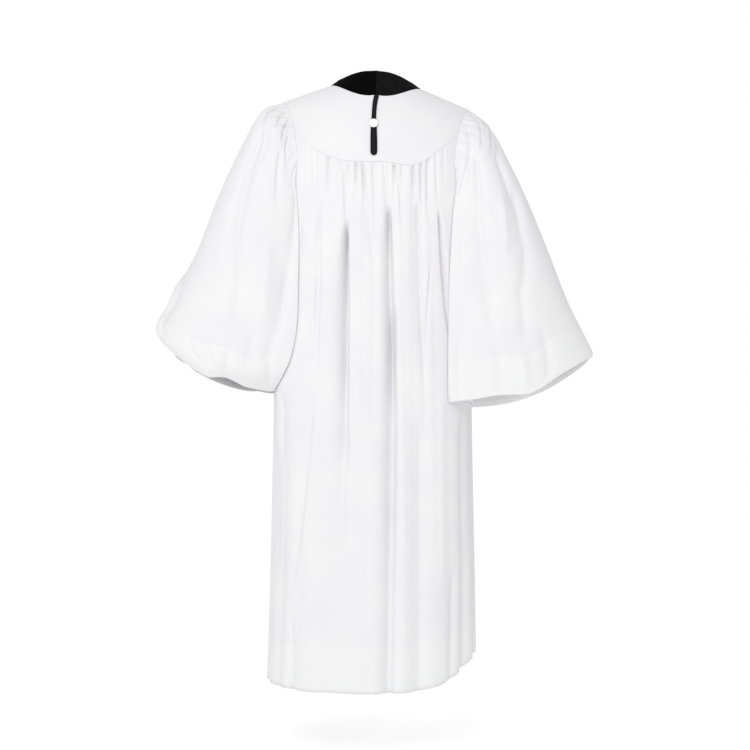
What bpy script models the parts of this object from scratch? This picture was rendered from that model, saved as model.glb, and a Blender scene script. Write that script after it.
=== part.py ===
"""A white pulpit robe in its worn, hollow form: yoke, fluted body, bell sleeves, black neckband.

Metres, +Z up. The origin is the centre of the neck opening, level with the sides of the neck, where
the shoulders hold the robe up. The front faces -Y, the back +Y, and +X is the wearer's left.
"""
import math
from collections import namedtuple

import bpy
from mathutils import Vector

MM = 0.001

# Cloth and seams
CLOTH = 2.0 * MM
VELVET = 2.5 * MM
SEAM_GAP = 0.3 * MM
EDGE_INSET = 0.2 * MM

# The general figure that the robe is cut for: a rounded section at each height
SECTION_POWER = 2.5
SHOULDER_HALF = 0.215
SURE_SHARE = 0.985
UP_SHARE = 0.05
RIDGE_TOP = 0.0388
SHOULDER_SLOPE = 0.38
SHOULDER_TILT = 0.04
ARCH_LOW = -0.20
UNDERARM_Z = -0.31
HEM_Z = -1.35

Section = namedtuple("Section", "drop half_width back front shift")
FIGURE = (
    Section(0.20, 0.222, 0.132, 0.120, 0.000),
    Section(0.31, 0.221, 0.138, 0.125, 0.001),
    Section(0.70, 0.226, 0.170, 0.152, 0.007),
    Section(1.14, 0.235, 0.194, 0.172, 0.008),
    Section(1.35, 0.240, 0.204, 0.182, 0.010),
)

# Armholes: nodes round each one, from the shoulder point over the back to the underarm and the front
ARMHOLE_NODES = 20
ARMHOLE_BACK_X = 0.176
ARMHOLE_REACH = math.radians(28.4)
SHOULDER_ROUNDNESS = 0.7
YOKE_NODE = 3
UNDERARM_NODE = ARMHOLE_NODES // 2

# Neck
NECK_HALF = 0.1075
NECK_TURN = math.radians(45.6)
NECK_ROUNDNESS = 1.4
V_TURN = math.radians(81.6)
V_CURVE = 1.5
V_PACE = 0.9
JUST_FRONT = -1e-6

# Panels
PANEL_ROWS = 13
MID_ROW = 7.5
FLUTE_COLUMNS = 4
EDGE_COLUMNS = 2
FLUTE_START = 0.030
ARMHOLE_FADE = 0.050
CENTRE_FADE = 0.025
BACK_SEAM_Z = -0.188
FRONT_SEAM_Z = -0.165
SEAM_DIP = 0.012
SEAM_DIP_AT = math.radians(-33)
SEAM_DIP_WIDTH = math.radians(15)
SEAM_DIP_ROWS = 5
SEAM_FLATNESS = 4
ROW_CROWDING = 1.8
SIDE_CROWDING = 1.1
HEM_LIFT = 0.060
HEM_LIFT_AT = math.radians(-80)
HEM_LIFT_WIDTH = math.radians(32)
HEM_LIFT_POWER = 4

# Flutes: each valley's angle from the centre line in degrees, and its depth in millimetres, under
# the yoke, at the shoulder blades' level and at the hem, and its half width in degrees low down
FLUTE_WIDTH = 2.3
Flute = namedtuple("Flute", "top mid hem deep_top deep_mid deep_hem spread")
BACK_FLUTES = (
    Flute(54, 76, 77, 2, 7, 14, 6),
    Flute(50, 60, 60, 5, 8, 17, 6),
    Flute(46, 45, 44.8, 8, 10, 15, 6),
    Flute(40.9, 38, 34.6, 7, 2, 1, 3),
    Flute(32.1, 30, 26, 9, 6, 5, 5),
    Flute(25.6, 22, 13.8, 10, 19, 22, 5),
    Flute(18.6, 15, 7.2, 7, 1, 1, 3),
    Flute(11.2, 8, 3.4, 7, 1, 0, 3),
    Flute(0.9, 0, 0.6, 8, 3, 2, 4),
    Flute(-10.3, -11.5, -8.1, 9, 26, 34, 5),
    Flute(-16.9, -18.6, -15.2, 7, 3, 1, 3),
    Flute(-23.8, -23.5, -18.6, 7, 2, 1, 3),
    Flute(-32.8, -28, -21.8, 8, 12, 18, 5),
    Flute(-38.9, -34, -29.6, 7, 4, 3, 4),
    Flute(-44.5, -41.5, -37.6, 8, 10, 14, 5),
    Flute(-48.5, -48, -46.2, 6, 10, 8, 5),
    Flute(-52, -61, -60, 4, 8, 17, 6),
    Flute(-55, -77, -77, 2, 7, 14, 6),
)
FRONT_LEFT_FLUTES = (
    Flute(54, 76, 76, 2, 7, 13, 6),
    Flute(47, 61, 61, 6, 8, 16, 6),
    Flute(39, 46, 47, 8, 12, 20, 6),
    Flute(30, 34, 34, 9, 5, 4, 5),
    Flute(20.5, 22, 23, 8, 16, 24, 6),
    Flute(10, 10, 11, 7, 3, 4, 4),
)
FRONT_RIGHT_FLUTES = (
    Flute(-11, -12, -12, 7, 12, 20, 5),
    Flute(-21, -22, -23, 8, 4, 5, 4),
    Flute(-30, -33, -34, 9, 14, 23, 6),
    Flute(-39, -46, -47, 7, 6, 8, 5),
    Flute(-47, -61, -60, 6, 10, 18, 6),
    Flute(-54, -76, -76, 2, 7, 13, 6),
)

# Yokes
YOKE_ROWS = 6
YOKE_STEPS_PER_FLUTE = 2
SHOULDER_COLUMNS = 9
FRONT_YOKE_COLUMNS = 10

# Sleeves: each ring's outer side, its back corner beside the body, and its lowest inner side
SLEEVE_COLUMNS = 60
SLEEVE_RINGS = 12
SLEEVE_SQUARENESS = 2.5
SLEEVE_CLEARANCE = 0.008
CORNER_TURN = 108
CORNER_SPREAD = 19
CORNER_PASSES = 3
INNER_RUN = 3.5
SEAM_TURN = 60
RIM_TURN = 130
GATHER_DEPTH = 5 * MM
GATHER_PEAK = 0.7
GATHER_LENGTH = 2.6
UNEVENNESS = 0.25
UNEVEN_STEP = 2.4
TROUGH_FADE = 4
RING_CROWDING = 1.15

Place = namedtuple("Place", "station x y z")
Ring = namedtuple("Ring", "station outer_x outer_z corner_x corner_z inner_z back front sag drop")
LEFT_RINGS = (
    Ring(1, 0.259, -0.055, 0.177, -0.245, -0.345, 0.116, 0.104, 0.000, 0.000),
    Ring(2, 0.309, -0.140, 0.172, -0.300, -0.395, 0.134, 0.118, 0.000, 0.000),
    Ring(3, 0.362, -0.255, 0.170, -0.370, -0.450, 0.146, 0.130, 0.000, 0.004),
    Ring(4, 0.409, -0.376, 0.170, -0.455, -0.520, 0.152, 0.136, 0.004, 0.012),
    Ring(5, 0.466, -0.482, 0.172, -0.550, -0.590, 0.154, 0.140, 0.008, 0.022),
    Ring(6, 0.503, -0.545, 0.186, -0.622, -0.640, 0.148, 0.138, 0.012, 0.030),
    Ring(7, 0.494, -0.580, 0.206, -0.660, -0.668, 0.134, 0.130, 0.014, 0.034),
    Ring(8, 0.472, -0.604, 0.228, -0.686, -0.692, 0.114, 0.116, 0.012, 0.036),
)
RIGHT_RINGS = (
    Ring(1, 0.257, -0.088, 0.177, -0.250, -0.345, 0.116, 0.104, 0.000, 0.000),
    Ring(2, 0.308, -0.180, 0.170, -0.310, -0.400, 0.134, 0.118, 0.000, 0.000),
    Ring(3, 0.350, -0.270, 0.165, -0.380, -0.455, 0.146, 0.130, 0.000, 0.004),
    Ring(4, 0.393, -0.375, 0.161, -0.460, -0.520, 0.152, 0.136, 0.008, 0.008),
    Ring(5, 0.438, -0.490, 0.159, -0.555, -0.595, 0.154, 0.140, 0.018, 0.012),
    Ring(6, 0.478, -0.570, 0.158, -0.640, -0.660, 0.152, 0.142, 0.030, 0.016),
    Ring(7, 0.494, -0.602, 0.158, -0.690, -0.708, 0.148, 0.142, 0.038, 0.020),
    Ring(8, 0.497, -0.618, 0.159, -0.714, -0.728, 0.146, 0.142, 0.040, 0.024),
)

# Sleeve folds: a trough's turn round the sleeve in degrees at its first and last station
Trough = namedtuple("Trough", "turn_first turn_last first last deep width")
LEFT_TROUGHS = (
    Trough(34, 44, 0.6, 5.5, 12, 13),
    Trough(80, 72, 1.5, 7.5, 9, 10),
    Trough(12, 8, 3.0, 8.0, 9, 9),
    Trough(58, 54, 4.5, 9.0, 7, 7),
    Trough(-38, -46, 0.6, 6.0, 12, 13),
    Trough(-78, -70, 1.5, 8.0, 9, 10),
    Trough(-20, -16, 4.0, 9.0, 7, 8),
)
RIGHT_TROUGHS = (
    Trough(24, 52, 0.6, 6.2, 13, 12),
    Trough(68, 74, 0.8, 7.0, 11, 10),
    Trough(14, 20, 3.5, 9.0, 8, 8),
    Trough(92, 90, 3.0, 8.5, 7, 8),
    Trough(-34, -50, 0.6, 6.5, 12, 12),
    Trough(-72, -76, 1.0, 8.0, 10, 10),
    Trough(-14, -18, 4.0, 9.0, 7, 8),
)

# Neckband: how far its inner edge lies inward of and above the neck seam, from back to front
BAND_BACK_COLUMNS = 10
BAND_FRONT_COLUMNS = 12
BAND_ROWS = 3
SHOULDER_SHARE = 0.45
Band = namedtuple("Band", "share inward up")
NECKBAND = (
    Band(0.00, 0.0240, 0.0595),
    Band(0.11, 0.0220, 0.0515),
    Band(0.22, 0.0165, 0.0300),
    Band(0.34, 0.0170, 0.0170),
    Band(0.45, 0.0200, 0.0100),
    Band(0.60, 0.0160, 0.0140),
    Band(0.80, 0.0106, 0.0265),
    Band(1.00, 0.0050, 0.0400),
)

# Strap and button: the strap's middle line and width at each drop below the origin
STRAP_THICKNESS = 2.2 * MM
STRAP_CROWN = 0.8 * MM
STRAP_ROWS = 16
STRAP_COLUMNS = 4
STRAP_TOP = 0.0350
STRAP_END = 0.1745
STRAP_END_HALF = 1.2 * MM
STRAP_CROWDING = 1.6
Strap = namedtuple("Strap", "drop middle width")
STRAP_LINE = (
    Strap(0.033, -0.0015, 0.0105),
    Strap(0.060, 0.0030, 0.0100),
    Strap(0.090, 0.0048, 0.0100),
    Strap(0.115, 0.0050, 0.0135),
    Strap(0.145, 0.0048, 0.0150),
    Strap(0.175, 0.0050, 0.0150),
)
BUTTON_DROP = 0.103
BUTTON_SIDES = 24
Rim = namedtuple("Rim", "radius height")
BUTTON_PROFILE = (
    Rim(0.0, 4.2),
    Rim(5.0, 4.0),
    Rim(8.2, 3.4),
    Rim(9.7, 2.6),
    Rim(10.0, 1.6),
    Rim(9.4, 0.6),
    Rim(8.2, 0.0),
    Rim(0.0, 0.0),
)

STEP = 1e-4


def smooth_row(rows, key):
    """Every column of a table at a key, on a smooth curve through its rows. Its first column is the key."""
    last = len(rows) - 1
    key = min(max(key, rows[0][0]), rows[last][0])
    low = max(i for i in range(last) if rows[i][0] <= key)
    before, start, end, after = rows[max(low - 1, 0)], rows[low], rows[low + 1], rows[min(low + 2, last)]
    span = end[0] - start[0]
    t = (key - start[0]) / span
    values = []
    for column in range(1, len(start)):
        slope_start = span * (end[column] - before[column]) / (end[0] - before[0])
        slope_end = span * (after[column] - start[column]) / (after[0] - start[0])
        values.append(start[column] * (2 * t**3 - 3 * t**2 + 1) + slope_start * (t**3 - 2 * t**2 + t)
                      + end[column] * (3 * t**2 - 2 * t**3) + slope_end * (t**3 - t**2))
    return type(start)(key, *values)


def ease(value):
    """0 to 1 with a smooth start and end."""
    value = min(max(value, 0.0), 1.0)
    return value * value * (3 - 2 * value)


def mix(start, end, share):
    return start + (end - start) * share


def bell(distance, width):
    return math.exp(-(distance / width) ** 2)


# The figure's surface


def ridge_z(x):
    """Height of the shoulder line."""
    return RIDGE_TOP - SHOULDER_SLOPE * abs(x) + SHOULDER_TILT * x


def figure(angle, z, proud=0.0):
    """Point at an angle from the middle of the back towards +X, at a height, `proud` outside the figure."""
    size = smooth_row(FIGURE, -z)
    depth = size.back if math.cos(angle) > 0 else size.front
    wide = abs(math.sin(angle)) / (size.half_width + proud)
    deep = abs(math.cos(angle)) / (depth + proud)
    reach = (wide**SECTION_POWER + deep**SECTION_POWER) ** (-1 / SECTION_POWER)
    x, y = reach * math.sin(angle), reach * math.cos(angle)
    if z > ARCH_LOW:
        rise = (z - ARCH_LOW) / (ridge_z(x) - ARCH_LOW)
        y *= math.sqrt(max(0.0, 1 - rise * rise))
    return Vector((x + size.shift, y, z))


def arch(x, turn):
    """Point of the shoulders: turn is 0 on the shoulder line, positive down the back."""
    size = FIGURE[0]
    depth = size.back if turn > 0 else size.front
    share = min(abs(x) / size.half_width, 1.0)
    depth *= (1 - share**SECTION_POWER) ** (1 / SECTION_POWER)
    return Vector((x, depth * math.sin(turn), ARCH_LOW + (ridge_z(x) - ARCH_LOW) * math.cos(turn)))


def arch_place(point):
    """The x and turn of a point on the shoulders."""
    rise = (point.z - ARCH_LOW) / (ridge_z(point.x) - ARCH_LOW)
    return point.x, math.copysign(math.acos(min(rise, 1.0)), point.y)


def figure_normal(point):
    """Outward direction of the figure beside a point."""
    if point.z > ARCH_LOW:
        limit = SURE_SHARE * FIGURE[0].half_width
        x, turn = arch_place(Vector((min(max(point.x, -limit), limit), point.y, point.z)))
        along = arch(x + STEP, turn) - arch(x - STEP, turn)
        down = arch(x, turn + STEP) - arch(x, turn - STEP)
    else:
        shift = smooth_row(FIGURE, -point.z).shift
        angle = math.atan2(point.x - shift, point.y)
        along = figure(angle + STEP, point.z) - figure(angle - STEP, point.z)
        down = figure(angle, point.z + STEP) - figure(angle, point.z - STEP)
    normal = along.cross(down).normalized()
    outward = Vector((point.x, point.y, UP_SHARE))
    return normal if normal.dot(outward) > 0 else -normal


# Walls


def surface_normals(rows, closed, core):
    """Direction out of a grid of points at each point, away from the core."""
    height, width = len(rows), len(rows[0])
    normals = []
    for r in range(height):
        above, below = rows[max(r - 1, 0)], rows[min(r + 1, height - 1)]
        line = []
        for c in range(width):
            left = (c - 1) % width if closed else max(c - 1, 0)
            right = (c + 1) % width if closed else min(c + 1, width - 1)
            line.append((rows[r][right] - rows[r][left]).cross(below[c] - above[c]).normalized())
        normals.append(line)
    r, c = height // 2, width // 2
    if normals[r][c].dot(rows[r][c] - core) < 0:
        normals = [[-normal for normal in line] for line in normals]
    return normals


def wall(name, rows, inner, closed, material):
    """A closed solid between an outer and an inner grid of points."""
    height, width = len(rows), len(rows[0])
    across = width if closed else width - 1
    points = [point for line in rows + inner for point in line]
    behind = height * width

    def at(r, c):
        return r * width + c % width

    faces = []
    for r in range(height - 1):
        for c in range(across):
            a, b, d, e = (at(r, c), at(r + 1, c), at(r + 1, c + 1), at(r, c + 1))
            if (points[a] - points[d]).length < (points[b] - points[e]).length:
                halves = ((a, b, d), (a, d, e))
            else:
                halves = ((b, d, e), (b, e, a))
            faces += halves
            faces += [tuple(behind + index for index in reversed(half)) for half in halves]
    for c in range(across):
        top = (at(0, c), at(0, c + 1))
        low = (at(height - 1, c + 1), at(height - 1, c))
        faces += [(a, b, behind + b, behind + a) for a, b in (top, low)]
    if not closed:
        for r in range(height - 1):
            left = (at(r + 1, 0), at(r, 0))
            right = (at(r, width - 1), at(r + 1, width - 1))
            faces += [(a, b, behind + b, behind + a) for a, b in (left, right)]
    mesh = bpy.data.meshes.new(name)
    mesh.from_pydata(points, [], faces)
    first = mesh.polygons[0]
    if first.normal.dot(rows[0][0] - inner[0][0]) < 0:
        mesh.flip_normals()
    return add_object(name, mesh, material)


def add_object(name, mesh, material):
    piece = bpy.data.objects.new(name, mesh)
    piece.data.materials.append(material)
    COLLECTION.objects.link(piece)
    return piece


def cloth_wall(name, rows, core, material, seams, rims=None):
    """A panel's wall. Its thickness follows the figure at the named seams and the cloth elsewhere.

    Rims holds the directions at the armholes, by row and column.
    """
    normals = surface_normals(rows, False, core)
    height, width = len(rows), len(rows[0])
    held = set()
    if "top" in seams:
        held |= {(0, c) for c in range(width)}
    if "bottom" in seams:
        held |= {(height - 1, c) for c in range(width)}
    if "sides" in seams:
        held |= {(r, c) for r in range(height) for c in (0, width - 1)}
    for r, c in held:
        normals[r][c] = figure_normal(rows[r][c])
    for (r, c), direction in (rims or {}).items():
        normals[r][c] = direction
    outer = inset(rows, seams)
    inner = [[outer[r][c] - normals[r][c] * CLOTH for c in range(width)] for r in range(height)]
    return wall(name, outer, inner, False, material)


def inset(rows, seams):
    """The grid with its seam edges drawn in, so that pieces stay apart."""
    rows = [list(line) for line in rows]
    height, width = len(rows), len(rows[0])

    def draw(edge, neighbour):
        return edge + (neighbour - edge).normalized() * EDGE_INSET

    if "top" in seams:
        rows[0] = [draw(rows[0][c], rows[1][c]) for c in range(width)]
    if "bottom" in seams:
        rows[-1] = [draw(rows[-1][c], rows[-2][c]) for c in range(width)]
    if "sides" in seams:
        for line in rows:
            line[0] = draw(line[0], line[1])
            line[-1] = draw(line[-1], line[-2])
    return rows


# Armholes and panels


def armhole_height(side, turn):
    top = ridge_z(side * SHOULDER_HALF)
    return mix(UNDERARM_Z, top, (1 + math.cos(turn)) / 2)


def section_angle(x, facing):
    """Angle on the figure's uppermost section of a point at x, to the back or the front of the side."""
    size = FIGURE[0]
    depth = size.back if facing == "back" else size.front
    share = x / size.half_width
    return math.atan2(x, depth * (1 - share**SECTION_POWER) ** (1 / SECTION_POWER))


def armhole_place(side, turn, facing):
    """Angle from the centre line, and height, of a point at a turn round the armhole."""
    swing = math.sin(turn)
    if math.cos(turn) > 0:
        x = ARMHOLE_BACK_X + (SHOULDER_HALF - ARMHOLE_BACK_X) * (1 - swing) ** SHOULDER_ROUNDNESS
        return section_angle(x, facing), armhole_height(side, turn)
    return math.pi / 2 - ARMHOLE_REACH * swing, armhole_height(side, turn)


def armhole_node(side, node):
    node %= ARMHOLE_NODES
    facing = "back" if node <= UNDERARM_NODE else "front"
    turn = 2 * math.pi * min(node, ARMHOLE_NODES - node) / ARMHOLE_NODES
    angle, z = armhole_place(side, turn, facing)
    return figure(side * (angle if facing == "back" else math.pi - angle), z)


def armhole(side, step):
    """Point round an armhole, on straight runs between its nodes: 0 shoulder, 5 back, 10 underarm."""
    node = math.floor(step)
    start, end = armhole_node(side, node), armhole_node(side, node + 1)
    return start.lerp(end, step - node)


def armhole_normal(side, step):
    """Outward direction at a point round an armhole, straight between the directions at its nodes."""
    node = math.floor(step)
    start, end = (figure_normal(armhole_node(side, node + k)) for k in (0, 1))
    return start.lerp(end, step - node)


def edge_place(side, row, facing):
    """Angle from the centre line, and height, where a panel's row meets the armhole or the side seam."""
    node = YOKE_NODE + row
    if node <= UNDERARM_NODE:
        return armhole_place(side, 2 * math.pi * node / ARMHOLE_NODES, facing)
    rows_down = UNDERARM_NODE - YOKE_NODE
    share = (row - rows_down) / (PANEL_ROWS - rows_down)
    return math.pi / 2, mix(UNDERARM_Z, HEM_Z, share**SIDE_CROWDING)


def panel_point(away, row, seam_z, facing):
    """Point of a panel's smooth form at an angle from its centre line, on a row down from the yoke."""
    side = 1 if away >= 0 else -1
    edge_angle, edge_z = edge_place(side, row, facing)
    mid_z = mix(seam_z, HEM_Z, (row / PANEL_ROWS) ** ROW_CROWDING)
    z = mix(mid_z, edge_z, min(abs(away) / edge_angle, 1.0) ** SEAM_FLATNESS)
    angle = away if facing == "back" else math.pi - away
    if facing == "back":
        z -= SEAM_DIP * bell(away - SEAM_DIP_AT, SEAM_DIP_WIDTH) * max(0.0, 1 - row / SEAM_DIP_ROWS)
    turned = math.remainder(angle - HEM_LIFT_AT, 2 * math.pi)
    z += HEM_LIFT * bell(turned, HEM_LIFT_WIDTH) * (row / PANEL_ROWS) ** HEM_LIFT_POWER
    return figure(angle, z)


def flute_at(flute, row):
    """A valley's angle, depth and half width on a row. It leaves the armhole's side slowly."""
    high = (0, flute.top, flute.deep_top, FLUTE_WIDTH)
    low = (MID_ROW, flute.mid, flute.deep_mid, flute.spread)
    turned = (row / MID_ROW) ** 2
    if row > MID_ROW:
        high, low = low, (PANEL_ROWS, flute.hem, flute.deep_hem, flute.spread)
        turned = (row - MID_ROW) / (PANEL_ROWS - MID_ROW)
    share = ease((row - high[0]) / (low[0] - high[0]))
    angle = math.radians(mix(high[1], low[1], turned))
    return angle, mix(high[2], low[2], share) * MM, math.radians(mix(high[3], low[3], share))


def fold_depth(away, valleys, edges):
    """How far the folds carry a panel inward at an angle. They end at the armholes and the seams."""
    depth = sum(deep * bell(away - angle, width) for angle, deep, width in valleys)
    for edge in edges:
        fade = ARMHOLE_FADE if edge else CENTRE_FADE
        depth *= ease(abs(edge - away) * SHOULDER_HALF / fade)
    return depth


def panel_turns(valleys, edges, steps, edge_steps):
    """The angles of a panel's columns: a number of steps from each edge or valley to the next."""
    marks = [edges[0]] + [angle for angle, _, _ in valleys] + [edges[1]]
    turns = []
    for start, end in zip(marks, marks[1:]):
        beside_edge = (edges[0] and start == edges[0]) or (edges[1] and end == edges[1])
        count = edge_steps if beside_edge else steps
        turns += [mix(start, end, step / count) for step in range(count)]
    return turns + [edges[1]]


def fluted_panel(name, flutes, seam_z, facing, sides, material):
    """A panel that hangs from a yoke, between two sides, or one side and 0 for the centre front."""
    rows = []
    for row in range(PANEL_ROWS + 1):
        edges = [side * edge_place(side, row, facing)[0] if side else 0.0 for side in sides]
        valleys = [flute_at(flute, row) for flute in flutes]
        turns = panel_turns(valleys, edges, FLUTE_COLUMNS, EDGE_COLUMNS)
        rows.append([fluted_point(away, row, seam_z, facing, fold_depth(away, valleys, edges))
                     for away in turns])
    middle = rows[PANEL_ROWS // 2][0].z
    return cloth_wall(name, rows, Vector((0, 0, middle)), material, seams="top sides")


def fluted_point(away, row, seam_z, facing, depth):
    point = panel_point(away, row, seam_z, facing)
    below = (panel_point(away, 0, seam_z, facing) - point).length
    return point - figure_normal(point) * depth * ease(below / FLUTE_START)


# Yokes


def neck_back(turn):
    """Place of the neck seam behind: turn is 0 at the centre back, a right angle at the shoulder line."""
    return NECK_HALF * math.sin(turn), NECK_TURN * math.cos(turn) ** NECK_ROUNDNESS


def neck_front(side, share):
    """Place of the neck seam in front, from the shoulder line down to the point of the V."""
    return side * NECK_HALF * (1 - share**V_CURVE), -V_TURN * share**V_PACE


def coons(top, bottom, left, right):
    """Places inside four edges, each a list of places, blended from all of them."""
    rows = []
    height, width = len(left) - 1, len(top) - 1
    for j in range(height + 1):
        v = j / height
        line = []
        for i in range(width + 1):
            u = i / width
            place = []
            for k in (0, 1):
                ends = (1 - v) * top[i][k] + v * bottom[i][k]
                sides = (1 - u) * left[j][k] + u * right[j][k]
                corners = ((1 - u) * ((1 - v) * top[0][k] + v * bottom[0][k])
                           + u * ((1 - v) * top[-1][k] + v * bottom[-1][k]))
                place.append(ends + sides - corners)
            line.append(place)
        rows.append(line)
    return rows


def armhole_places(side, first, last, count):
    return [arch_place(armhole(side, mix(first, last, i / count))) for i in range(count + 1)]


def back_yoke(material):
    """The back yoke, between both armholes, the neck seam, the shoulder lines and the fluted seam."""
    edges = [side * edge_place(side, 0, "back")[0] for side in (1, -1)]
    valleys = [flute_at(flute, 0) for flute in BACK_FLUTES]
    turns = panel_turns(valleys, edges, YOKE_STEPS_PER_FLUTE, YOKE_STEPS_PER_FLUTE)
    bottom = [arch_place(panel_point(away, 0, BACK_SEAM_Z, "back")) for away in turns]
    neck_columns = len(bottom) - 1 - 2 * SHOULDER_COLUMNS
    shoulder = [(mix(SHOULDER_HALF, NECK_HALF, i / SHOULDER_COLUMNS), 0.0) for i in range(SHOULDER_COLUMNS)]
    neck = [neck_back(math.pi / 2 - math.pi * i / neck_columns) for i in range(neck_columns + 1)]
    top = shoulder + neck + [(-x, turn) for x, turn in reversed(shoulder)]
    left = armhole_places(1, 0, YOKE_NODE, YOKE_ROWS)
    right = armhole_places(-1, 0, YOKE_NODE, YOKE_ROWS)
    rows = [[arch(x, max(turn, 0.0)) for x, turn in line] for line in coons(top, bottom, left, right)]
    rims = {}
    for j, line in enumerate(rows):
        step = YOKE_NODE * j / YOKE_ROWS
        for side, c in ((1, 0), (-1, len(line) - 1)):
            line[c] = armhole(side, step)
            rims[j, c] = armhole_normal(side, step)
    core = Vector((0, 0, ARCH_LOW))
    return cloth_wall("back_yoke", rows, core, material, seams="top bottom sides", rims=rims)


def front_yoke(name, side, material):
    """A front yoke, between the armhole, the shoulder line, the V of the neck and the fluted seam."""
    count = FRONT_YOKE_COLUMNS
    edge = side * edge_place(side, 0, "front")[0]
    top = [(side * mix(SHOULDER_HALF, NECK_HALF, i / count), 0.0) for i in range(count + 1)]
    bottom = [arch_place(panel_point(mix(edge, 0.0, i / count), 0, FRONT_SEAM_Z, "front"))
              for i in range(count + 1)]
    left = armhole_places(side, ARMHOLE_NODES, ARMHOLE_NODES - YOKE_NODE, YOKE_ROWS)
    right = [neck_front(side, j / YOKE_ROWS) for j in range(YOKE_ROWS + 1)]
    rows = [[arch(x, min(turn, JUST_FRONT)) for x, turn in line] for line in coons(top, bottom, left, right)]
    rims = {}
    for j, line in enumerate(rows):
        step = ARMHOLE_NODES - YOKE_NODE * j / YOKE_ROWS
        line[0] = armhole(side, step)
        rims[j, 0] = armhole_normal(side, step)
    core = Vector((0, 0, ARCH_LOW))
    return cloth_wall(name, rows, core, material, seams="top bottom sides", rims=rims)


# Sleeves


def sleeve_ring_point(side, ring, turn):
    """Point of one ring of a sleeve: a rounded outer bow, and an inner run beside the body."""
    facing = 1 if turn >= 0 else -1
    depth = ring.back if facing > 0 else ring.front
    drop = 0.0 if facing > 0 else ring.drop
    corner = Vector((ring.corner_x, depth * facing, ring.corner_z - drop))
    if abs(turn) <= CORNER_TURN:
        bow = math.pi / 2 * ease(abs(turn) / CORNER_TURN)
        out = math.cos(bow) ** (2 / SLEEVE_SQUARENESS) if bow < math.pi / 2 else 0.0
        deep = math.sin(bow) ** (2 / SLEEVE_SQUARENESS)
        x = mix(ring.corner_x, ring.outer_x, out)
        z = mix(ring.corner_z, ring.outer_z, out) - ring.sag * math.sin(math.pi * out) - drop * deep
        return Vector((side * x, facing * depth * deep, z))
    share = (abs(turn) - CORNER_TURN) / (180 - CORNER_TURN)
    z = mix(ring.corner_z - drop, ring.inner_z, ease(share))
    angle = mix(math.atan2(ring.corner_x, depth), math.pi / 2, share)
    if facing < 0:
        angle = math.pi - angle
    inner = figure(side * angle, z, SLEEVE_CLEARANCE)
    reach = math.hypot(inner.x, inner.y)
    wider = mix(math.hypot(ring.corner_x, depth), reach, ease(share * INNER_RUN)) / reach
    return Vector((inner.x * wider, inner.y * wider, z))


def sleeve_line(side, rings, turn):
    """The key points of the line that runs down a sleeve at a turn, the armhole's first."""
    step = (turn % 360) * ARMHOLE_NODES / 360
    points = [armhole(side, step)]
    signed = turn if turn <= 180 else turn - 360
    return points + [sleeve_ring_point(side, ring, signed) for ring in rings]


def sleeve_relief(troughs, turn, station):
    """Depth of gathers and troughs at a turn, in degrees, and a station down the sleeve."""
    signed = turn if turn <= 180 else turn - 360
    depth = 0.0
    column = round(turn * SLEEVE_COLUMNS / 360)
    if abs(signed) <= CORNER_TURN and column % 2:
        uneven = 1 - UNEVENNESS * (1 - math.sin(column * UNEVEN_STEP))
        fall = 1 - ease((station - GATHER_PEAK) / (GATHER_LENGTH - GATHER_PEAK))
        depth += GATHER_DEPTH * uneven * ease(station / GATHER_PEAK) * fall
    for trough in troughs:
        share = (station - trough.first) / (trough.last - trough.first)
        if 0 < share < 1:
            centre = mix(trough.turn_first, trough.turn_last, share)
            fade = ease(share * TROUGH_FADE) * ease((1 - share) * TROUGH_FADE)
            depth += trough.deep * MM * fade * bell(signed - centre, trough.width)
    return depth


def rounded_corners(ring, turns):
    """The ring with the two folds beside the body rounded."""
    signed = [abs(math.remainder(turn, 360)) for turn in turns]
    near = [c for c, turn in enumerate(signed) if abs(turn - CORNER_TURN) < CORNER_SPREAD]
    for _ in range(CORNER_PASSES):
        eased = {c: (ring[c - 1] + ring[c] * 2 + ring[(c + 1) % len(ring)]) / 4 for c in near}
        ring = [eased.get(c, point) for c, point in enumerate(ring)]
    return ring


def clear_of_body(point, station):
    """A sleeve's point, moved out until it clears the body panels."""
    if point.z > ARCH_LOW:
        return point
    shift = smooth_row(FIGURE, -point.z).shift
    proud = SLEEVE_CLEARANCE * ease(station)
    limit = figure(math.atan2(point.x - shift, point.y), point.z, proud)
    limit.x -= shift
    reach = math.hypot(point.x - shift, point.y)
    shortest = math.hypot(limit.x, limit.y)
    if reach >= shortest:
        return point
    return Vector(((point.x - shift) * shortest / reach + shift, point.y * shortest / reach, point.z))


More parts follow.
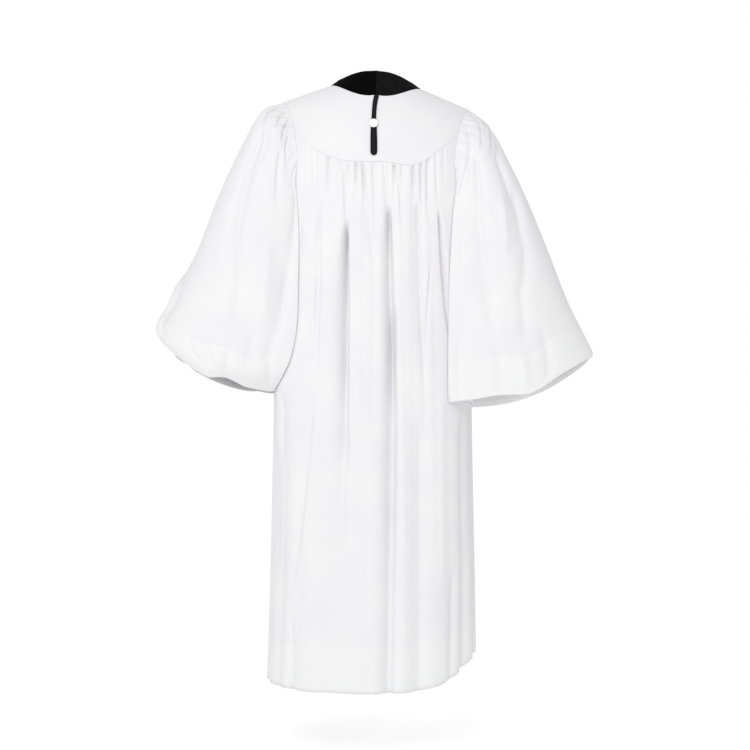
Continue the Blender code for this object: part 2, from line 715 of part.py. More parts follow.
def sleeve(name, side, rings, troughs, material):
    """A bell sleeve, gathered into the armhole, as a ring of cloth at each station."""
    turns = [360 * i / SLEEVE_COLUMNS for i in range(SLEEVE_COLUMNS)]
    lines = [sleeve_line(side, rings, turn) for turn in turns]
    stations = [len(rings) * (i / SLEEVE_RINGS) ** RING_CROWDING for i in range(SLEEVE_RINGS + 1)]
    rows = []
    for station in stations:
        ring = []
        for line in lines:
            table = [Place(index, *point) for index, point in enumerate(line)]
            ring.append(Vector(smooth_row(table, station)[1:]))
        rows.append(rounded_corners(ring, turns) if station else ring)
    centre = sum(rows[len(rows) // 2], Vector()) / SLEEVE_COLUMNS
    normals = surface_normals(rows, True, centre)
    for r, station in enumerate(stations):
        for c, turn in enumerate(turns):
            moved = rows[r][c] - normals[r][c] * sleeve_relief(troughs, turn, station)
            rows[r][c] = clear_of_body(moved, station)
    hole = sum(rows[0], Vector()) / SLEEVE_COLUMNS
    rims = [armhole_normal(side, turn * ARMHOLE_NODES / 360) for turn in turns]
    for c, rim in enumerate(rims):
        point = rows[0][c]
        rows[0][c] = point + (hole - point).normalized() * EDGE_INSET + rim * EDGE_INSET
    normals = surface_normals(rows, True, centre)
    for c, turn in enumerate(turns):
        share = ease((abs(math.remainder(turn, 360)) - SEAM_TURN) / (RIM_TURN - SEAM_TURN))
        normals[0][c] = rims[c].lerp(normals[0][c], share)
    inner = [[point - normal * CLOTH for point, normal in zip(*pair)] for pair in zip(rows, normals)]
    return wall(name, rows, inner, True, material)


# Neckband, strap and button


def neck_edge(side):
    """The neck seam from the centre back to the point of the V: each point, and its share of the way."""
    edge = []
    for i in range(BAND_BACK_COLUMNS):
        x, turn = neck_back(math.pi / 2 * i / BAND_BACK_COLUMNS)
        edge.append((arch(side * x, turn), SHOULDER_SHARE * i / BAND_BACK_COLUMNS))
    for i in range(BAND_FRONT_COLUMNS + 1):
        share = i / BAND_FRONT_COLUMNS
        row = share * YOKE_ROWS
        start, end = (arch(*neck_front(side, j / YOKE_ROWS)) for j in (math.floor(row), math.ceil(row)))
        edge.append((start.lerp(end, row % 1), mix(SHOULDER_SHARE, 1, share)))
    return edge


def neckband(name, side, material):
    """Half of the velvet band that stands round the neck and lies along the V."""
    rows = []
    edge = neck_edge(side)
    for j in range(BAND_ROWS + 1):
        line = []
        for point, share in edge:
            size = smooth_row(NECKBAND, share)
            inward = Vector((-point.x, -point.y, 0)).normalized()
            across = inward * size.inward + Vector((0, 0, size.up))
            start = point + across.normalized() * SEAM_GAP
            line.append(start.lerp(point + across, j / BAND_ROWS))
        rows.append(line)
    normals = surface_normals(rows, False, Vector((0, 0, 0)))
    for line in normals:
        for c in (0, -1):
            line[c] = Vector((0, line[c].y, line[c].z)).normalized()
    for line in rows:
        line[0] = line[0] + Vector((side * EDGE_INSET, 0, 0))
        line[-1] = line[-1] + Vector((side * EDGE_INSET, 0, 0))
    inner = [[point - normal * VELVET for point, normal in zip(*pair)] for pair in zip(rows, normals)]
    return wall(name, rows, inner, False, material)


def yoke_place(x, drop):
    """Point of the back yoke at a drop below the origin, and the direction out of it."""
    rise = (-drop - ARCH_LOW) / (ridge_z(x) - ARCH_LOW)
    point = arch(x, math.acos(rise))
    return point, figure_normal(point)


def hood_strap(material):
    """A flat strap from the neck seam down the yoke, with a rounded end."""
    outer, inner = [], []
    for row in range(STRAP_ROWS + 1):
        share = row / STRAP_ROWS
        drop = mix(STRAP_TOP, STRAP_END, 1 - (1 - share) ** STRAP_CROWDING)
        line = smooth_row(STRAP_LINE, drop)
        radius = line.width / 2
        past = max(0.0, 1 - (STRAP_END - drop) / radius)
        half = max(radius * math.sqrt(max(0.0, 1 - past**2)), STRAP_END_HALF)
        top, under = [], []
        for column in range(STRAP_COLUMNS + 1):
            across = 2 * column / STRAP_COLUMNS - 1
            point, out = yoke_place(line.middle + across * half, drop)
            under.append(point + out * SEAM_GAP)
            top.append(point + out * (SEAM_GAP + STRAP_THICKNESS + STRAP_CROWN * (1 - across**2)))
        outer.append(top)
        inner.append(under)
    return wall("hood_strap", outer, inner, False, material)


def hood_button(material):
    """A plain domed button on the strap."""
    mesh = bpy.data.meshes.new("hood_button")
    profile = [(rim.radius * MM, 0, rim.height * MM) for rim in BUTTON_PROFILE]
    mesh.from_pydata(profile, [(i, i + 1) for i in range(len(profile) - 1)], [])
    button = add_object("hood_button", mesh, material)
    turned = button.modifiers.new("turned", "SCREW")
    turned.steps = turned.render_steps = BUTTON_SIDES
    turned.use_merge_vertices = True
    turned.merge_threshold = 0.01 * MM
    point, out = yoke_place(smooth_row(STRAP_LINE, BUTTON_DROP).middle, BUTTON_DROP)
    button.location = point + out * (2 * SEAM_GAP + STRAP_THICKNESS + STRAP_CROWN)
    button.rotation_euler = out.to_track_quat("Z", "Y").to_euler()
    return button


# Materials and scene


def cloth_material(name, colour, roughness, sheen=0.0):
    material = bpy.data.materials.new(name)
    material.use_nodes = True
    shader = material.node_tree.nodes["Principled BSDF"]
    shader.inputs["Base Color"].default_value = (*colour, 1.0)
    shader.inputs["Roughness"].default_value = roughness
    shader.inputs["Metallic"].default_value = 0.0
    shader.inputs["Sheen Weight"].default_value = sheen
    return material


def clear_scene():
    for piece in list(bpy.data.objects):
        bpy.data.objects.remove(piece, do_unlink=True)


clear_scene()
COLLECTION = bpy.data.collections.new("pulpit_robe")
bpy.context.scene.collection.children.link(COLLECTION)

white = cloth_material("white_polyester", (0.86, 0.86, 0.87), 0.75, 0.2)
velvet = cloth_material("black_velvet", (0.006, 0.006, 0.007), 0.9, 0.6)
braid = cloth_material("black_braid", (0.012, 0.012, 0.013), 0.8, 0.2)
resin = cloth_material("white_resin", (0.88, 0.88, 0.87), 0.35)

back_yoke(white)
front_yoke("front_yoke_left", 1, white)
front_yoke("front_yoke_right", -1, white)
fluted_panel("back_panel", BACK_FLUTES, BACK_SEAM_Z, "back", (1, -1), white)
fluted_panel("front_left", FRONT_LEFT_FLUTES, FRONT_SEAM_Z, "front", (1, 0), white)
fluted_panel("front_right", FRONT_RIGHT_FLUTES, FRONT_SEAM_Z, "front", (0, -1), white)
sleeve("sleeve_left", 1, LEFT_RINGS, LEFT_TROUGHS, white)
sleeve("sleeve_right", -1, RIGHT_RINGS, RIGHT_TROUGHS, white)
neckband("neckband_left", 1, velvet)
neckband("neckband_right", -1, velvet)
hood_strap(braid)
hood_button(resin)
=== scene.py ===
import logging
import math
from dataclasses import dataclass
from enum import Enum
from functools import partial
from typing import NamedTuple, Sequence

import bpy
import numpy as np
from mathutils import Matrix, Vector


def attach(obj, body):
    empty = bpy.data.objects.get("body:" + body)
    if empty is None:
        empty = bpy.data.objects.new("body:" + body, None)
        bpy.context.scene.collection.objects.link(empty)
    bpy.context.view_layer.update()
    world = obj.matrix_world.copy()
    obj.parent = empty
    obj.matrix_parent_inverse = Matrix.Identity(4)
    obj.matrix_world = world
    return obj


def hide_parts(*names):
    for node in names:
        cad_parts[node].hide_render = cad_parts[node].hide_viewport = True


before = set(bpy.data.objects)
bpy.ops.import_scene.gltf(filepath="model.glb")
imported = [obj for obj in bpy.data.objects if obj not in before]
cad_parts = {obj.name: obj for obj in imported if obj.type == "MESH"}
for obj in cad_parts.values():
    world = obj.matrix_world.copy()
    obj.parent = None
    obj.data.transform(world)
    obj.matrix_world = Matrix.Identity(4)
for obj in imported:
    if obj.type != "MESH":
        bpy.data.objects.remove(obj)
LOG = logging.getLogger("pulpit_robe")
MM = 0.001
# Depths of the double hems, and heights of the fluted seams on the centre lines
BODY_HEM = 97 * MM
SLEEVE_HEM = 84 * MM
BACK_SEAM_Z = -0.188
FRONT_SEAM_Z = -0.165
# Columns between two flutes in front, where the flutes lie further apart
FRONT_STEPS = 24
# A length that keeps a sum from dividing by 0, and a turn that keeps places in front of the shoulder line
NEVER_ZERO = 1e-12
JUST_FRONT = -1e-6


class Facing(Enum):
    """The half of the robe that a piece lies on."""

    BACK = 1
    FRONT = -1


class Side(Enum):
    """The wearer's side that a piece lies on, as the sign of X."""

    LEFT = 1
    RIGHT = -1


class Edge(Enum):
    """An edge of a grid of cloth: the axis that ends at it, and whether it is the far end."""

    TOP = (0, False)
    BOTTOM = (0, True)
    FIRST = (1, False)
    LAST = (1, True)


class Held(Enum):
    """How a sheet of cloth is held."""

    LAID = "laid"
    GATHERED = "gathered"
    HUNG = "hung"


class Slot(Enum):
    """The record's material slots."""

    CREPE = "white_polyester"
    VELVET = "black_velvet"
    BRAID = "black_braid"
    RESIN = "white_resin"


# Named rows of the tables


class Section(NamedTuple):
    """The figure's section at a drop below the origin, in metres."""

    drop: float
    half_width: float
    back: float
    front: float
    shift: float


class Flute(NamedTuple):
    """A valley's angle in degrees and depth in millimetres at three levels, and its half width low down."""

    top: float
    mid: float
    hem: float
    deep_top: float
    deep_mid: float
    deep_hem: float
    spread: float


class Crease(NamedTuple):
    """A soft trough, or a ridge where it is less than 0 deep, placed on a panel.

    Angles and width are in degrees round the body, rows run from 0 at the yoke to 13 at the hem,
    and the depth is in millimetres. Lean makes the side of lower angles steeper, and flare is the
    share of its width that it starts at.
    """

    start_turn: float
    end_turn: float
    start_row: float
    end_row: float
    deep: float
    width: float
    lean: float = 0.0
    flare: float = 1.0


class Ring(NamedTuple):
    """A sleeve's ring: its outer side, its corner beside the body, and its lowest inner side.

    A sleeve's first ring is station 1, and its armhole is station 0.
    """

    outer_x: float
    outer_z: float
    corner_x: float
    corner_z: float
    inner_z: float
    back: float
    front: float
    sag: float
    drop: float


class Trough(NamedTuple):
    """A sleeve's trough: its turn at its first and last station and its width, in degrees, and its depth."""

    turn_first: float
    turn_last: float
    first: float
    last: float
    deep: float
    width: float
    lean: float = 0.0


class Wave(NamedTuple):
    """How far a sleeve's hem is lifted at a turn in degrees, in millimetres."""

    turn: float
    lift: float


class Band(NamedTuple):
    """How far the neckband's inner edge lies inward of and above the neck seam, at a share of its length."""

    share: float
    inward: float
    up: float


class Strap(NamedTuple):
    """The strap's middle line and width at a drop below the origin, in metres."""

    drop: float
    middle: float
    width: float


# Curves and the figure


def mix(start: np.ndarray | float, end: np.ndarray | float, share: np.ndarray | float) -> np.ndarray | float:
    """A value a share of the way from start to end."""
    return start + (end - start) * share


def ease(value: np.ndarray | float) -> np.ndarray | float:
    """0 to 1 with a smooth start and end."""
    value = np.clip(value, 0.0, 1.0)
    return value * value * (3 - 2 * value)


def bell(distance: np.ndarray | float, width: np.ndarray | float) -> np.ndarray | float:
    """1 at no distance, falling smoothly over the width."""
    return np.exp(-((distance / width) ** 2))


def fold(distance: np.ndarray, width: np.ndarray | float, lean: float = 0.0, crease: float = 0.3,
         sharp: float = 0.4) -> np.ndarray:
    """A fold's profile.

    Args:
        distance: distances from its middle.
        width: its half width.
        lean: how much wider it is on the side of positive distances, and narrower on the other.
        crease: the share of a sharper crease in its middle.
        sharp: the crease's width as a share of the fold's.

    Returns:
        1 in the middle, falling to 0.
    """
    width = width * np.where(distance > 0, 1 + lean, 1 - lean)
    return mix(bell(distance, width), bell(distance, width * sharp), crease)


def unit(vectors: np.ndarray) -> np.ndarray:
    """The vectors at a length of 1."""
    return vectors / np.maximum(np.linalg.norm(vectors, axis=-1, keepdims=True), NEVER_ZERO)


class SmoothTable:
    """A table whose columns run on smooth curves through its rows. Its first column is the key."""

    def __init__(self, keys: Sequence[float], values: np.ndarray) -> None:
        """Works out the slopes at the rows.

        Args:
            keys: the rows' keys, rising.
            values: one row of values for each key.
        """
        self.keys = np.asarray(keys, float)
        self.values = np.asarray(values, float)
        n = len(self.keys)
        after = np.minimum(np.arange(n) + 1, n - 1)
        before = np.maximum(np.arange(n) - 1, 0)
        spans = (self.keys[after] - self.keys[before]).reshape((-1,) + (1,) * (self.values.ndim - 1))
        self.slopes = (self.values[after] - self.values[before]) / spans

    @classmethod
    def of(cls, rows: Sequence[NamedTuple]) -> "SmoothTable":
        """The table of named rows."""
        return cls([row[0] for row in rows], np.array([row[1:] for row in rows]))

    def at(self, key: np.ndarray | float) -> np.ndarray:
        """Reads the table at keys.

        Args:
            key: any shape of keys.

        Returns:
            The values, with the columns on the last axes.
        """
        key = np.clip(np.asarray(key, float), self.keys[0], self.keys[-1])
        low = np.clip(np.searchsorted(self.keys, key, side="right") - 1, 0, len(self.keys) - 2)
        span = self.keys[low + 1] - self.keys[low]
        t = (key - self.keys[low]) / span
        more = (...,) + (None,) * (self.values.ndim - 1)
        t, span = t[more], span[more]
        return (
            self.values[low] * (2 * t**3 - 3 * t**2 + 1)
            + self.slopes[low] * span * (t**3 - 2 * t**2 + t)
            + self.values[low + 1] * (3 * t**2 - 2 * t**3)
            + self.slopes[low + 1] * span * (t**3 - t**2)
        )


@dataclass(frozen=True)
class Figure:
    """The general figure that the robe is cut for: rounded sections, arched at the shoulders."""

    sections: tuple[Section, ...] = (
        Section(0.20, 0.222, 0.132, 0.120, 0.000),
        Section(0.31, 0.221, 0.138, 0.125, 0.001),
        Section(0.70, 0.226, 0.170, 0.152, 0.007),
        Section(1.14, 0.235, 0.194, 0.172, 0.008),
        Section(1.35, 0.240, 0.204, 0.182, 0.010),
    )
    power: float = 2.5
    ridge_top: float = 0.0388
    slope: float = 0.38
    tilt: float = 0.04
    arch_low: float = -0.20
    sure_share: float = 0.985
    step: float = 1e-4
    upward: float = 0.05

    def section(self, z: np.ndarray) -> tuple[np.ndarray, ...]:
        """Half width, back, front and shift at heights."""
        return tuple(np.moveaxis(SmoothTable.of(self.sections).at(-z), -1, 0))

    def ridge_z(self, x: np.ndarray) -> np.ndarray:
        """Height of the shoulder line."""
        return self.ridge_top - self.slope * np.abs(x) + self.tilt * x

    def point(self, angle: np.ndarray, z: np.ndarray, proud: float | np.ndarray = 0.0) -> np.ndarray:
        """Points on the figure.

        Args:
            angle: angles from the middle of the back towards +X.
            z: heights.
            proud: how far outside the figure.

        Returns:
            The points.
        """
        angle, z = np.broadcast_arrays(np.asarray(angle, float), np.asarray(z, float))
        half, back, front, shift = self.section(z)
        depth = np.where(np.cos(angle) > 0, back, front)
        wide = np.abs(np.sin(angle)) / (half + proud)
        deep = np.abs(np.cos(angle)) / (depth + proud)
        reach = (wide**self.power + deep**self.power) ** (-1 / self.power)
        x, y = reach * np.sin(angle), reach * np.cos(angle)
        rise = (z - self.arch_low) / (self.ridge_z(x) - self.arch_low)
        arched = y * np.sqrt(np.clip(1 - rise * rise, 0, None))
        return np.stack([x + shift, np.where(z > self.arch_low, arched, y), z], axis=-1)

    def arch(self, x: np.ndarray, turn: np.ndarray) -> np.ndarray:
        """Points of the shoulders.

        Args:
            x: distances to the wearer's left.
            turn: turns, 0 on the shoulder line and positive down the back.

        Returns:
            The points.
        """
        x, turn = np.broadcast_arrays(np.asarray(x, float), np.asarray(turn, float))
        size = self.sections[0]
        share = np.minimum(np.abs(x) / size.half_width, 1.0)
        depth = np.where(turn > 0, size.back, size.front) * (1 - share**self.power) ** (1 / self.power)
        z = self.arch_low + (self.ridge_z(x) - self.arch_low) * np.cos(turn)
        return np.stack([x, depth * np.sin(turn), z], axis=-1)

    def arch_place(self, points: np.ndarray) -> np.ndarray:
        """The places of points on the shoulders.

        Args:
            points: the points.

        Returns:
            Each point's x and turn.
        """
        x = points[..., 0]
        rise = (points[..., 2] - self.arch_low) / (self.ridge_z(x) - self.arch_low)
        turn = np.copysign(np.arccos(np.clip(rise, -1, 1)), points[..., 1])
        return np.stack([x, turn], axis=-1)

    def normal(self, points: np.ndarray) -> np.ndarray:
        """Directions out of the figure beside points.

        Args:
            points: points near the figure.

        Returns:
            One direction of length 1 for each.
        """
        step = self.step
        limit = self.sure_share * self.sections[0].half_width
        held = np.array(points)
        held[..., 0] = np.clip(held[..., 0], -limit, limit)
        x, turn = np.moveaxis(self.arch_place(held), -1, 0)
        along = self.arch(x + step, turn) - self.arch(x - step, turn)
        down = self.arch(x, turn + step) - self.arch(x, turn - step)
        above = unit(np.cross(along, down))
        z = points[..., 2]
        angle = np.arctan2(points[..., 0] - self.section(z)[3], points[..., 1])
        along = self.point(angle + step, z) - self.point(angle - step, z)
        down = self.point(angle, z + step) - self.point(angle, z - step)
        below = unit(np.cross(along, down))
        normal = np.where((z > self.arch_low)[..., None], above, below)
        outward = points * (1, 1, 0) + (0, 0, self.upward)
        return normal * np.where((normal * outward).sum(-1, keepdims=True) > 0, 1, -1)


@dataclass(frozen=True)
class Armhole:
    """The armhole's curve on the figure, from the shoulder over the back to the underarm and the front."""

    figure: Figure
    nodes: int = 20
    shoulder_half: float = 0.215
    back_x: float = 0.176
    reach: float = math.radians(28.4)
    roundness: float = 0.7
    underarm_z: float = -0.31
    hem_z: float = -1.35
    yoke_node: int = 3
    panel_rows: int = 13
    side_crowding: float = 1.1

    def place(self, side: np.ndarray, turn: np.ndarray, facing: Facing) -> tuple[np.ndarray, np.ndarray]:
        """Angle from the centre line, and height, of points round the armhole.

        Args:
            side: signs of X.
            turn: turns from the shoulder point, 0 to a half turn at the underarm.
            facing: the half of the robe.

        Returns:
            Angles and heights.
        """
        swing = np.sin(turn)
        x = self.back_x + (self.shoulder_half - self.back_x) * np.clip(1 - swing, 0, None) ** self.roundness
        size = self.figure.sections[0]
        depth = size.back if facing is Facing.BACK else size.front
        power = self.figure.power
        upper = np.arctan2(x, depth * (1 - (x / size.half_width) ** power) ** (1 / power))
        angle = np.where(np.cos(turn) > 0, upper, math.pi / 2 - self.reach * swing)
        top = self.figure.ridge_z(side * self.shoulder_half)
        return angle, mix(self.underarm_z, top, (1 + np.cos(turn)) / 2)

    def point(self, side: int, step: np.ndarray) -> np.ndarray:
        """Points round an armhole.

        Args:
            side: the sign of X.
            step: steps round it: 0 shoulder, 5 back, 10 underarm, 15 front.

        Returns:
            The points.
        """
        step = np.mod(np.asarray(step, float), self.nodes)
        half = self.nodes / 2
        turn = math.pi * np.minimum(step, self.nodes - step) / half
        back, z = self.place(side, turn, Facing.BACK)
        front, _ = self.place(side, turn, Facing.FRONT)
        return self.figure.point(side * np.where(step <= half, back, math.pi - front), z)

    def edge_place(self, side: np.ndarray, row: np.ndarray, facing: Facing) -> tuple[np.ndarray, np.ndarray]:
        """Where a panel's rows meet the armhole or, lower down, the side seam.

        Args:
            side: signs of X.
            row: rows down from the yoke.
            facing: the half of the robe.

        Returns:
            Angles and heights.
        """
        half = self.nodes / 2
        node = np.minimum(self.yoke_node + row, half)
        angle, z = self.place(side, math.pi * node / half, facing)
        rows_down = half - self.yoke_node
        share = np.clip((row - rows_down) / (self.panel_rows - rows_down), 0, 1)
        low = mix(self.underarm_z, self.hem_z, share**self.side_crowding)
        return angle, np.where(row > rows_down, low, z)


# Finishes


def linear(code: str) -> tuple[float, float, float, float]:
    """The linear colour of an sRGB hex value."""
    parts = [int(code[i : i + 2], 16) / 255 for i in (1, 3, 5)]
    return tuple(c / 12.92 if c <= 0.04045 else ((c + 0.055) / 1.055) ** 2.4 for c in parts) + (1.0,)


def set_node(tree: bpy.types.NodeTree, node: bpy.types.Node, settings: dict, links: dict) -> None:
    """Gives a node its settings and its links.

    Args:
        tree: the node tree.
        node: the node.
        settings: its attributes by name, its inputs' values by name or number, or a ramp's stops.
        links: the sockets that its inputs take, by name or number.
    """
    for name, value in settings.items():
        if name == "stops":
            for element, (position, code) in zip(node.color_ramp.elements, value):
                element.position = position
                element.color = linear(code)
        elif isinstance(name, int) or name in node.inputs:
            node.inputs[name].default_value = value
        else:
            setattr(node, name, value)
    for name, socket in links.items():
        tree.links.new(socket, node.inputs[name])


def add_node(tree: bpy.types.NodeTree, kind: str, settings: dict, links: dict,
             out: int | str = 0) -> bpy.types.NodeSocket:
    """Adds a node with its settings and its links.

    Args:
        tree: the node tree.
        kind: the node's type.
        settings: its settings, as set_node takes them.
        links: its links, as set_node takes them.
        out: the output that is wanted.

    Returns:
        That output's socket.
    """
    node = tree.nodes.new(kind)
    set_node(tree, node, settings, links)
    return node.outputs[out]


def new_material(name: str) -> tuple[bpy.types.Material, bpy.types.NodeTree, bpy.types.Node]:
    """Makes a material.

    Args:
        name: its name.

    Returns:
        The material, its node tree and its Principled shader.
    """
    material = bpy.data.materials.new(name)
    material.use_nodes = True
    tree = material.node_tree
    return material, tree, tree.nodes["Principled BSDF"]


def per_metre(size_mm: float) -> float:
    """A noise's scale for blotches of a real size in millimetres."""
    return 1 / (size_mm * MM)


def bands_per_metre(spacing_mm: float) -> float:
    """A wave texture's scale for bands at a real spacing in millimetres. It draws a band each 2 pi / 20."""
    return 2 * math.pi / 20 / (spacing_mm * MM)


@dataclass(frozen=True)
class WovenPolyesterCrepe:
    """White polyester crepe, woven from hard-twisted yarn.

    The twist gives the eye a matt, faintly pebbled white with no shine, drifting at random into a cooler
    white in large soft patches.
    A double hem lets less light through, so it is a little brighter, with blind stitches along its top.
    """

    name: str
    hem: float = 0.0
    white: str = "#E9E9E9"
    shade: str = "#E5E4E8"
    hem_white: str = "#E9E9EA"
    cloud_mm: float = 120.0
    # Real crepe has 30 threads to a centimetre. Too fine to show, they are drawn six times as coarse
    thread_mm: float = 2.1
    thread_share: float = 0.45
    pebble_mm: float = 4.6
    crush_mm: float = 38.0
    hem_blur: float = 2.0 * MM
    stitch_mm: float = 6.0
    stitch_reach: float = 2.4 * MM
    stitch_pull: float = 1.2
    stitch_dent: float = 1.4
    smoothest: float = 0.74
    roughest: float = 0.88

    def make(self) -> bpy.types.Material:
        """Builds the material.

        Returns:
            The material, which reads the cloth's UV map: metres across, and metres up from the hem.
        """
        material, tree, shader = new_material(self.name)
        add = partial(add_node, tree)
        cloth = add("ShaderNodeUVMap", {"uv_map": "cloth"}, {})
        clouds = add("ShaderNodeTexNoise", {"Scale": per_metre(self.cloud_mm), "Detail": 3.0}, {0: cloth})
        colour = add("ShaderNodeValToRGB", {"stops": [(0.30, self.shade), (0.65, self.white)]}, {0: clouds})
        thread = {"Scale": bands_per_metre(self.thread_mm), "Distortion": 0.6}
        ends = add("ShaderNodeTexWave", {"bands_direction": "X"} | thread, {0: cloth}, "Fac")
        picks = add("ShaderNodeTexWave", {"bands_direction": "Y"} | thread, {0: cloth}, "Fac")
        weave = add("ShaderNodeMath", {"operation": "MULTIPLY"}, {0: ends, 1: picks})
        pebble = add("ShaderNodeTexNoise", {"Scale": per_metre(self.pebble_mm), "Detail": 2.5}, {0: cloth})
        woven = {"operation": "MULTIPLY_ADD", 1: self.thread_share}
        fine = add("ShaderNodeMath", woven, {0: weave, 2: pebble})
        crush = add("ShaderNodeTexNoise", {"Scale": per_metre(self.crush_mm), "Detail": 2.5}, {0: cloth})
        soft = add("ShaderNodeBump", {"Strength": 0.30, "Distance": 1.5 * MM}, {"Height": crush})
        if self.hem:
            colour, fine = self.hemmed(tree, cloth, colour, fine)
        relief = {"Strength": 0.22, "Distance": 0.5 * MM}
        bump = add("ShaderNodeBump", relief, {"Height": fine, "Normal": soft})
        matt = {"To Min": self.smoothest, "To Max": self.roughest}
        rough = add("ShaderNodeMapRange", matt, {0: pebble})
        lustre = {"Sheen Weight": 0.10, "Sheen Roughness": 0.5, "Specular IOR Level": 0.25}
        set_node(tree, shader, lustre, {"Base Color": colour, "Normal": bump, "Roughness": rough})
        return material

    def hemmed(self, tree: bpy.types.NodeTree, cloth: bpy.types.NodeSocket, colour: bpy.types.NodeSocket,
               fine: bpy.types.NodeSocket) -> tuple[bpy.types.NodeSocket, bpy.types.NodeSocket]:
        """Brightens the double hem and dents the cloth along its stitches.

        Args:
            tree: the node tree.
            cloth: the UV map.
            colour: the cloth's colour.
            fine: the cloth's height.

        Returns:
            The colour and height with the hem.
        """
        add = partial(add_node, tree)
        up = add("ShaderNodeSeparateXYZ", {}, {0: cloth}, "Y")
        top = {"From Min": self.hem + self.hem_blur, "From Max": self.hem - self.hem_blur}
        double = add("ShaderNodeMapRange", top, {0: up})
        white = {"data_type": "RGBA", 7: linear(self.hem_white)}
        brighter = add("ShaderNodeMix", white, {0: double, 6: colour}, 2)
        height = add("ShaderNodeMath", {"operation": "SUBTRACT", 1: self.hem}, {0: up})
        away = add("ShaderNodeMath", {"operation": "ABSOLUTE"}, {0: height})
        near = {"From Max": self.stitch_reach, "To Min": 1.0, "To Max": 0.0}
        seam = add("ShaderNodeMapRange", near, {0: away})
        row = {"bands_direction": "X", "Scale": bands_per_metre(self.stitch_mm), "Distortion": 0.3}
        stitch = add("ShaderNodeTexWave", row, {0: cloth}, "Fac")
        pull = {"operation": "MULTIPLY_ADD", 1: self.stitch_pull, 2: self.stitch_dent}
        pulled = add("ShaderNodeMath", pull, {0: stitch})
        dent = add("ShaderNodeMath", {"operation": "MULTIPLY"}, {0: pulled, 1: seam})
        lower = add("ShaderNodeMath", {"operation": "SUBTRACT"}, {0: fine, 1: dent})
        return brighter, lower


@dataclass(frozen=True)
class CutCottonVelvet:
    """Black cotton velvet with a short cut pile.

    The pile swallows light, so it is the darkest cloth on the robe, with faint random streaks along it. It is
    made as a darker and a paler copy: painted shade on the neckband's left half and painted sheen on its
    right half, for how the light falls on the nap.
    """

    name: str
    pile: str
    brushed: str
    streak_mm: float = 16.0
    # A real pile is 0.3 mm apart. Too fine to show, it is drawn as tufts of 1.4 mm
    tuft_mm: float = 1.4

    def make(self) -> bpy.types.Material:
        """Builds the material.

        Returns:
            The material, which reads the band's UV map in metres.
        """
        material, tree, shader = new_material(self.name)
        add = partial(add_node, tree)
        cloth = add("ShaderNodeUVMap", {"uv_map": "cloth"}, {})
        drawn = add("ShaderNodeMapping", {"Scale": (1.0, 0.35, 1.0)}, {0: cloth})
        streaks = add("ShaderNodeTexNoise", {"Scale": per_metre(self.streak_mm), "Detail": 3.0}, {0: drawn})
        colour = add("ShaderNodeValToRGB", {"stops": [(0.35, self.pile), (0.70, self.brushed)]}, {0: streaks})
        tufts = add("ShaderNodeTexNoise", {"Scale": per_metre(self.tuft_mm), "Detail": 3.0}, {0: cloth})
        bump = add("ShaderNodeBump", {"Strength": 0.40, "Distance": 0.5 * MM}, {"Height": tufts})
        matt = {"Roughness": 0.95, "Specular IOR Level": 0.05, "Sheen Weight": 0.02, "Sheen Roughness": 0.35}
        set_node(tree, shader, matt, {"Base Color": colour, "Normal": bump})
        return material


@dataclass(frozen=True)
class WovenViscoseBraid:
    """Black flat braid, woven from viscose.

    Its plaited middle has ribs and a low lustre. Its black is lighter down the middle as a painted highlight
    on the strap's rounded crown, darker at the two edges as painted shade where it rounds away, and darker in
    the furrows between the ribs as painted shade.
    """

    name: str = "woven_viscose_braid"
    # The edge colour is painted shade where the strap rounds away at its sides, the middle colour a painted
    # highlight on its rounded crown, and the furrow colour painted shade between the ribs
    edge: str = "#050505"
    middle: str = "#171718"
    painted_furrow_shade: str = "#0B0B0C"
    rib_mm: float = 2.2
    half_width: float = 6.5 * MM

    def make(self) -> bpy.types.Material:
        """Builds the material.

        Returns:
            The material, which reads the strap's UV map: metres from its middle, and metres along it.
        """
        material, tree, shader = new_material(self.name)
        add = partial(add_node, tree)
        cloth = add("ShaderNodeUVMap", {"uv_map": "cloth"}, {})
        side = add("ShaderNodeSeparateXYZ", {}, {0: cloth}, "X")
        away = add("ShaderNodeMath", {"operation": "ABSOLUTE"}, {0: side})
        share = add("ShaderNodeMapRange", {"From Max": self.half_width}, {0: away})
        row = {"bands_direction": "Y", "Scale": bands_per_metre(self.rib_mm), "Distortion": 0.4}
        ribs = add("ShaderNodeTexWave", row, {0: cloth}, "Fac")
        # Painted highlight down the middle fading to painted shade at the edges, with painted shade in the
        # furrows between the ribs
        high = add("ShaderNodeValToRGB", {"stops": [(0.20, self.middle), (0.70, self.edge)]}, {0: share})
        low = add("ShaderNodeValToRGB", {"stops": [(0.20, self.painted_furrow_shade), (0.70, self.edge)]}, {0: share})
        colour = add("ShaderNodeMix", {"data_type": "RGBA"}, {0: ribs, 6: low, 7: high}, 2)
        bump = add("ShaderNodeBump", {"Strength": 0.50, "Distance": 0.4 * MM}, {"Height": ribs})
        lustre = {"Roughness": 0.72, "Specular IOR Level": 0.20}
        set_node(tree, shader, lustre, {"Base Color": colour, "Normal": bump})
        return material


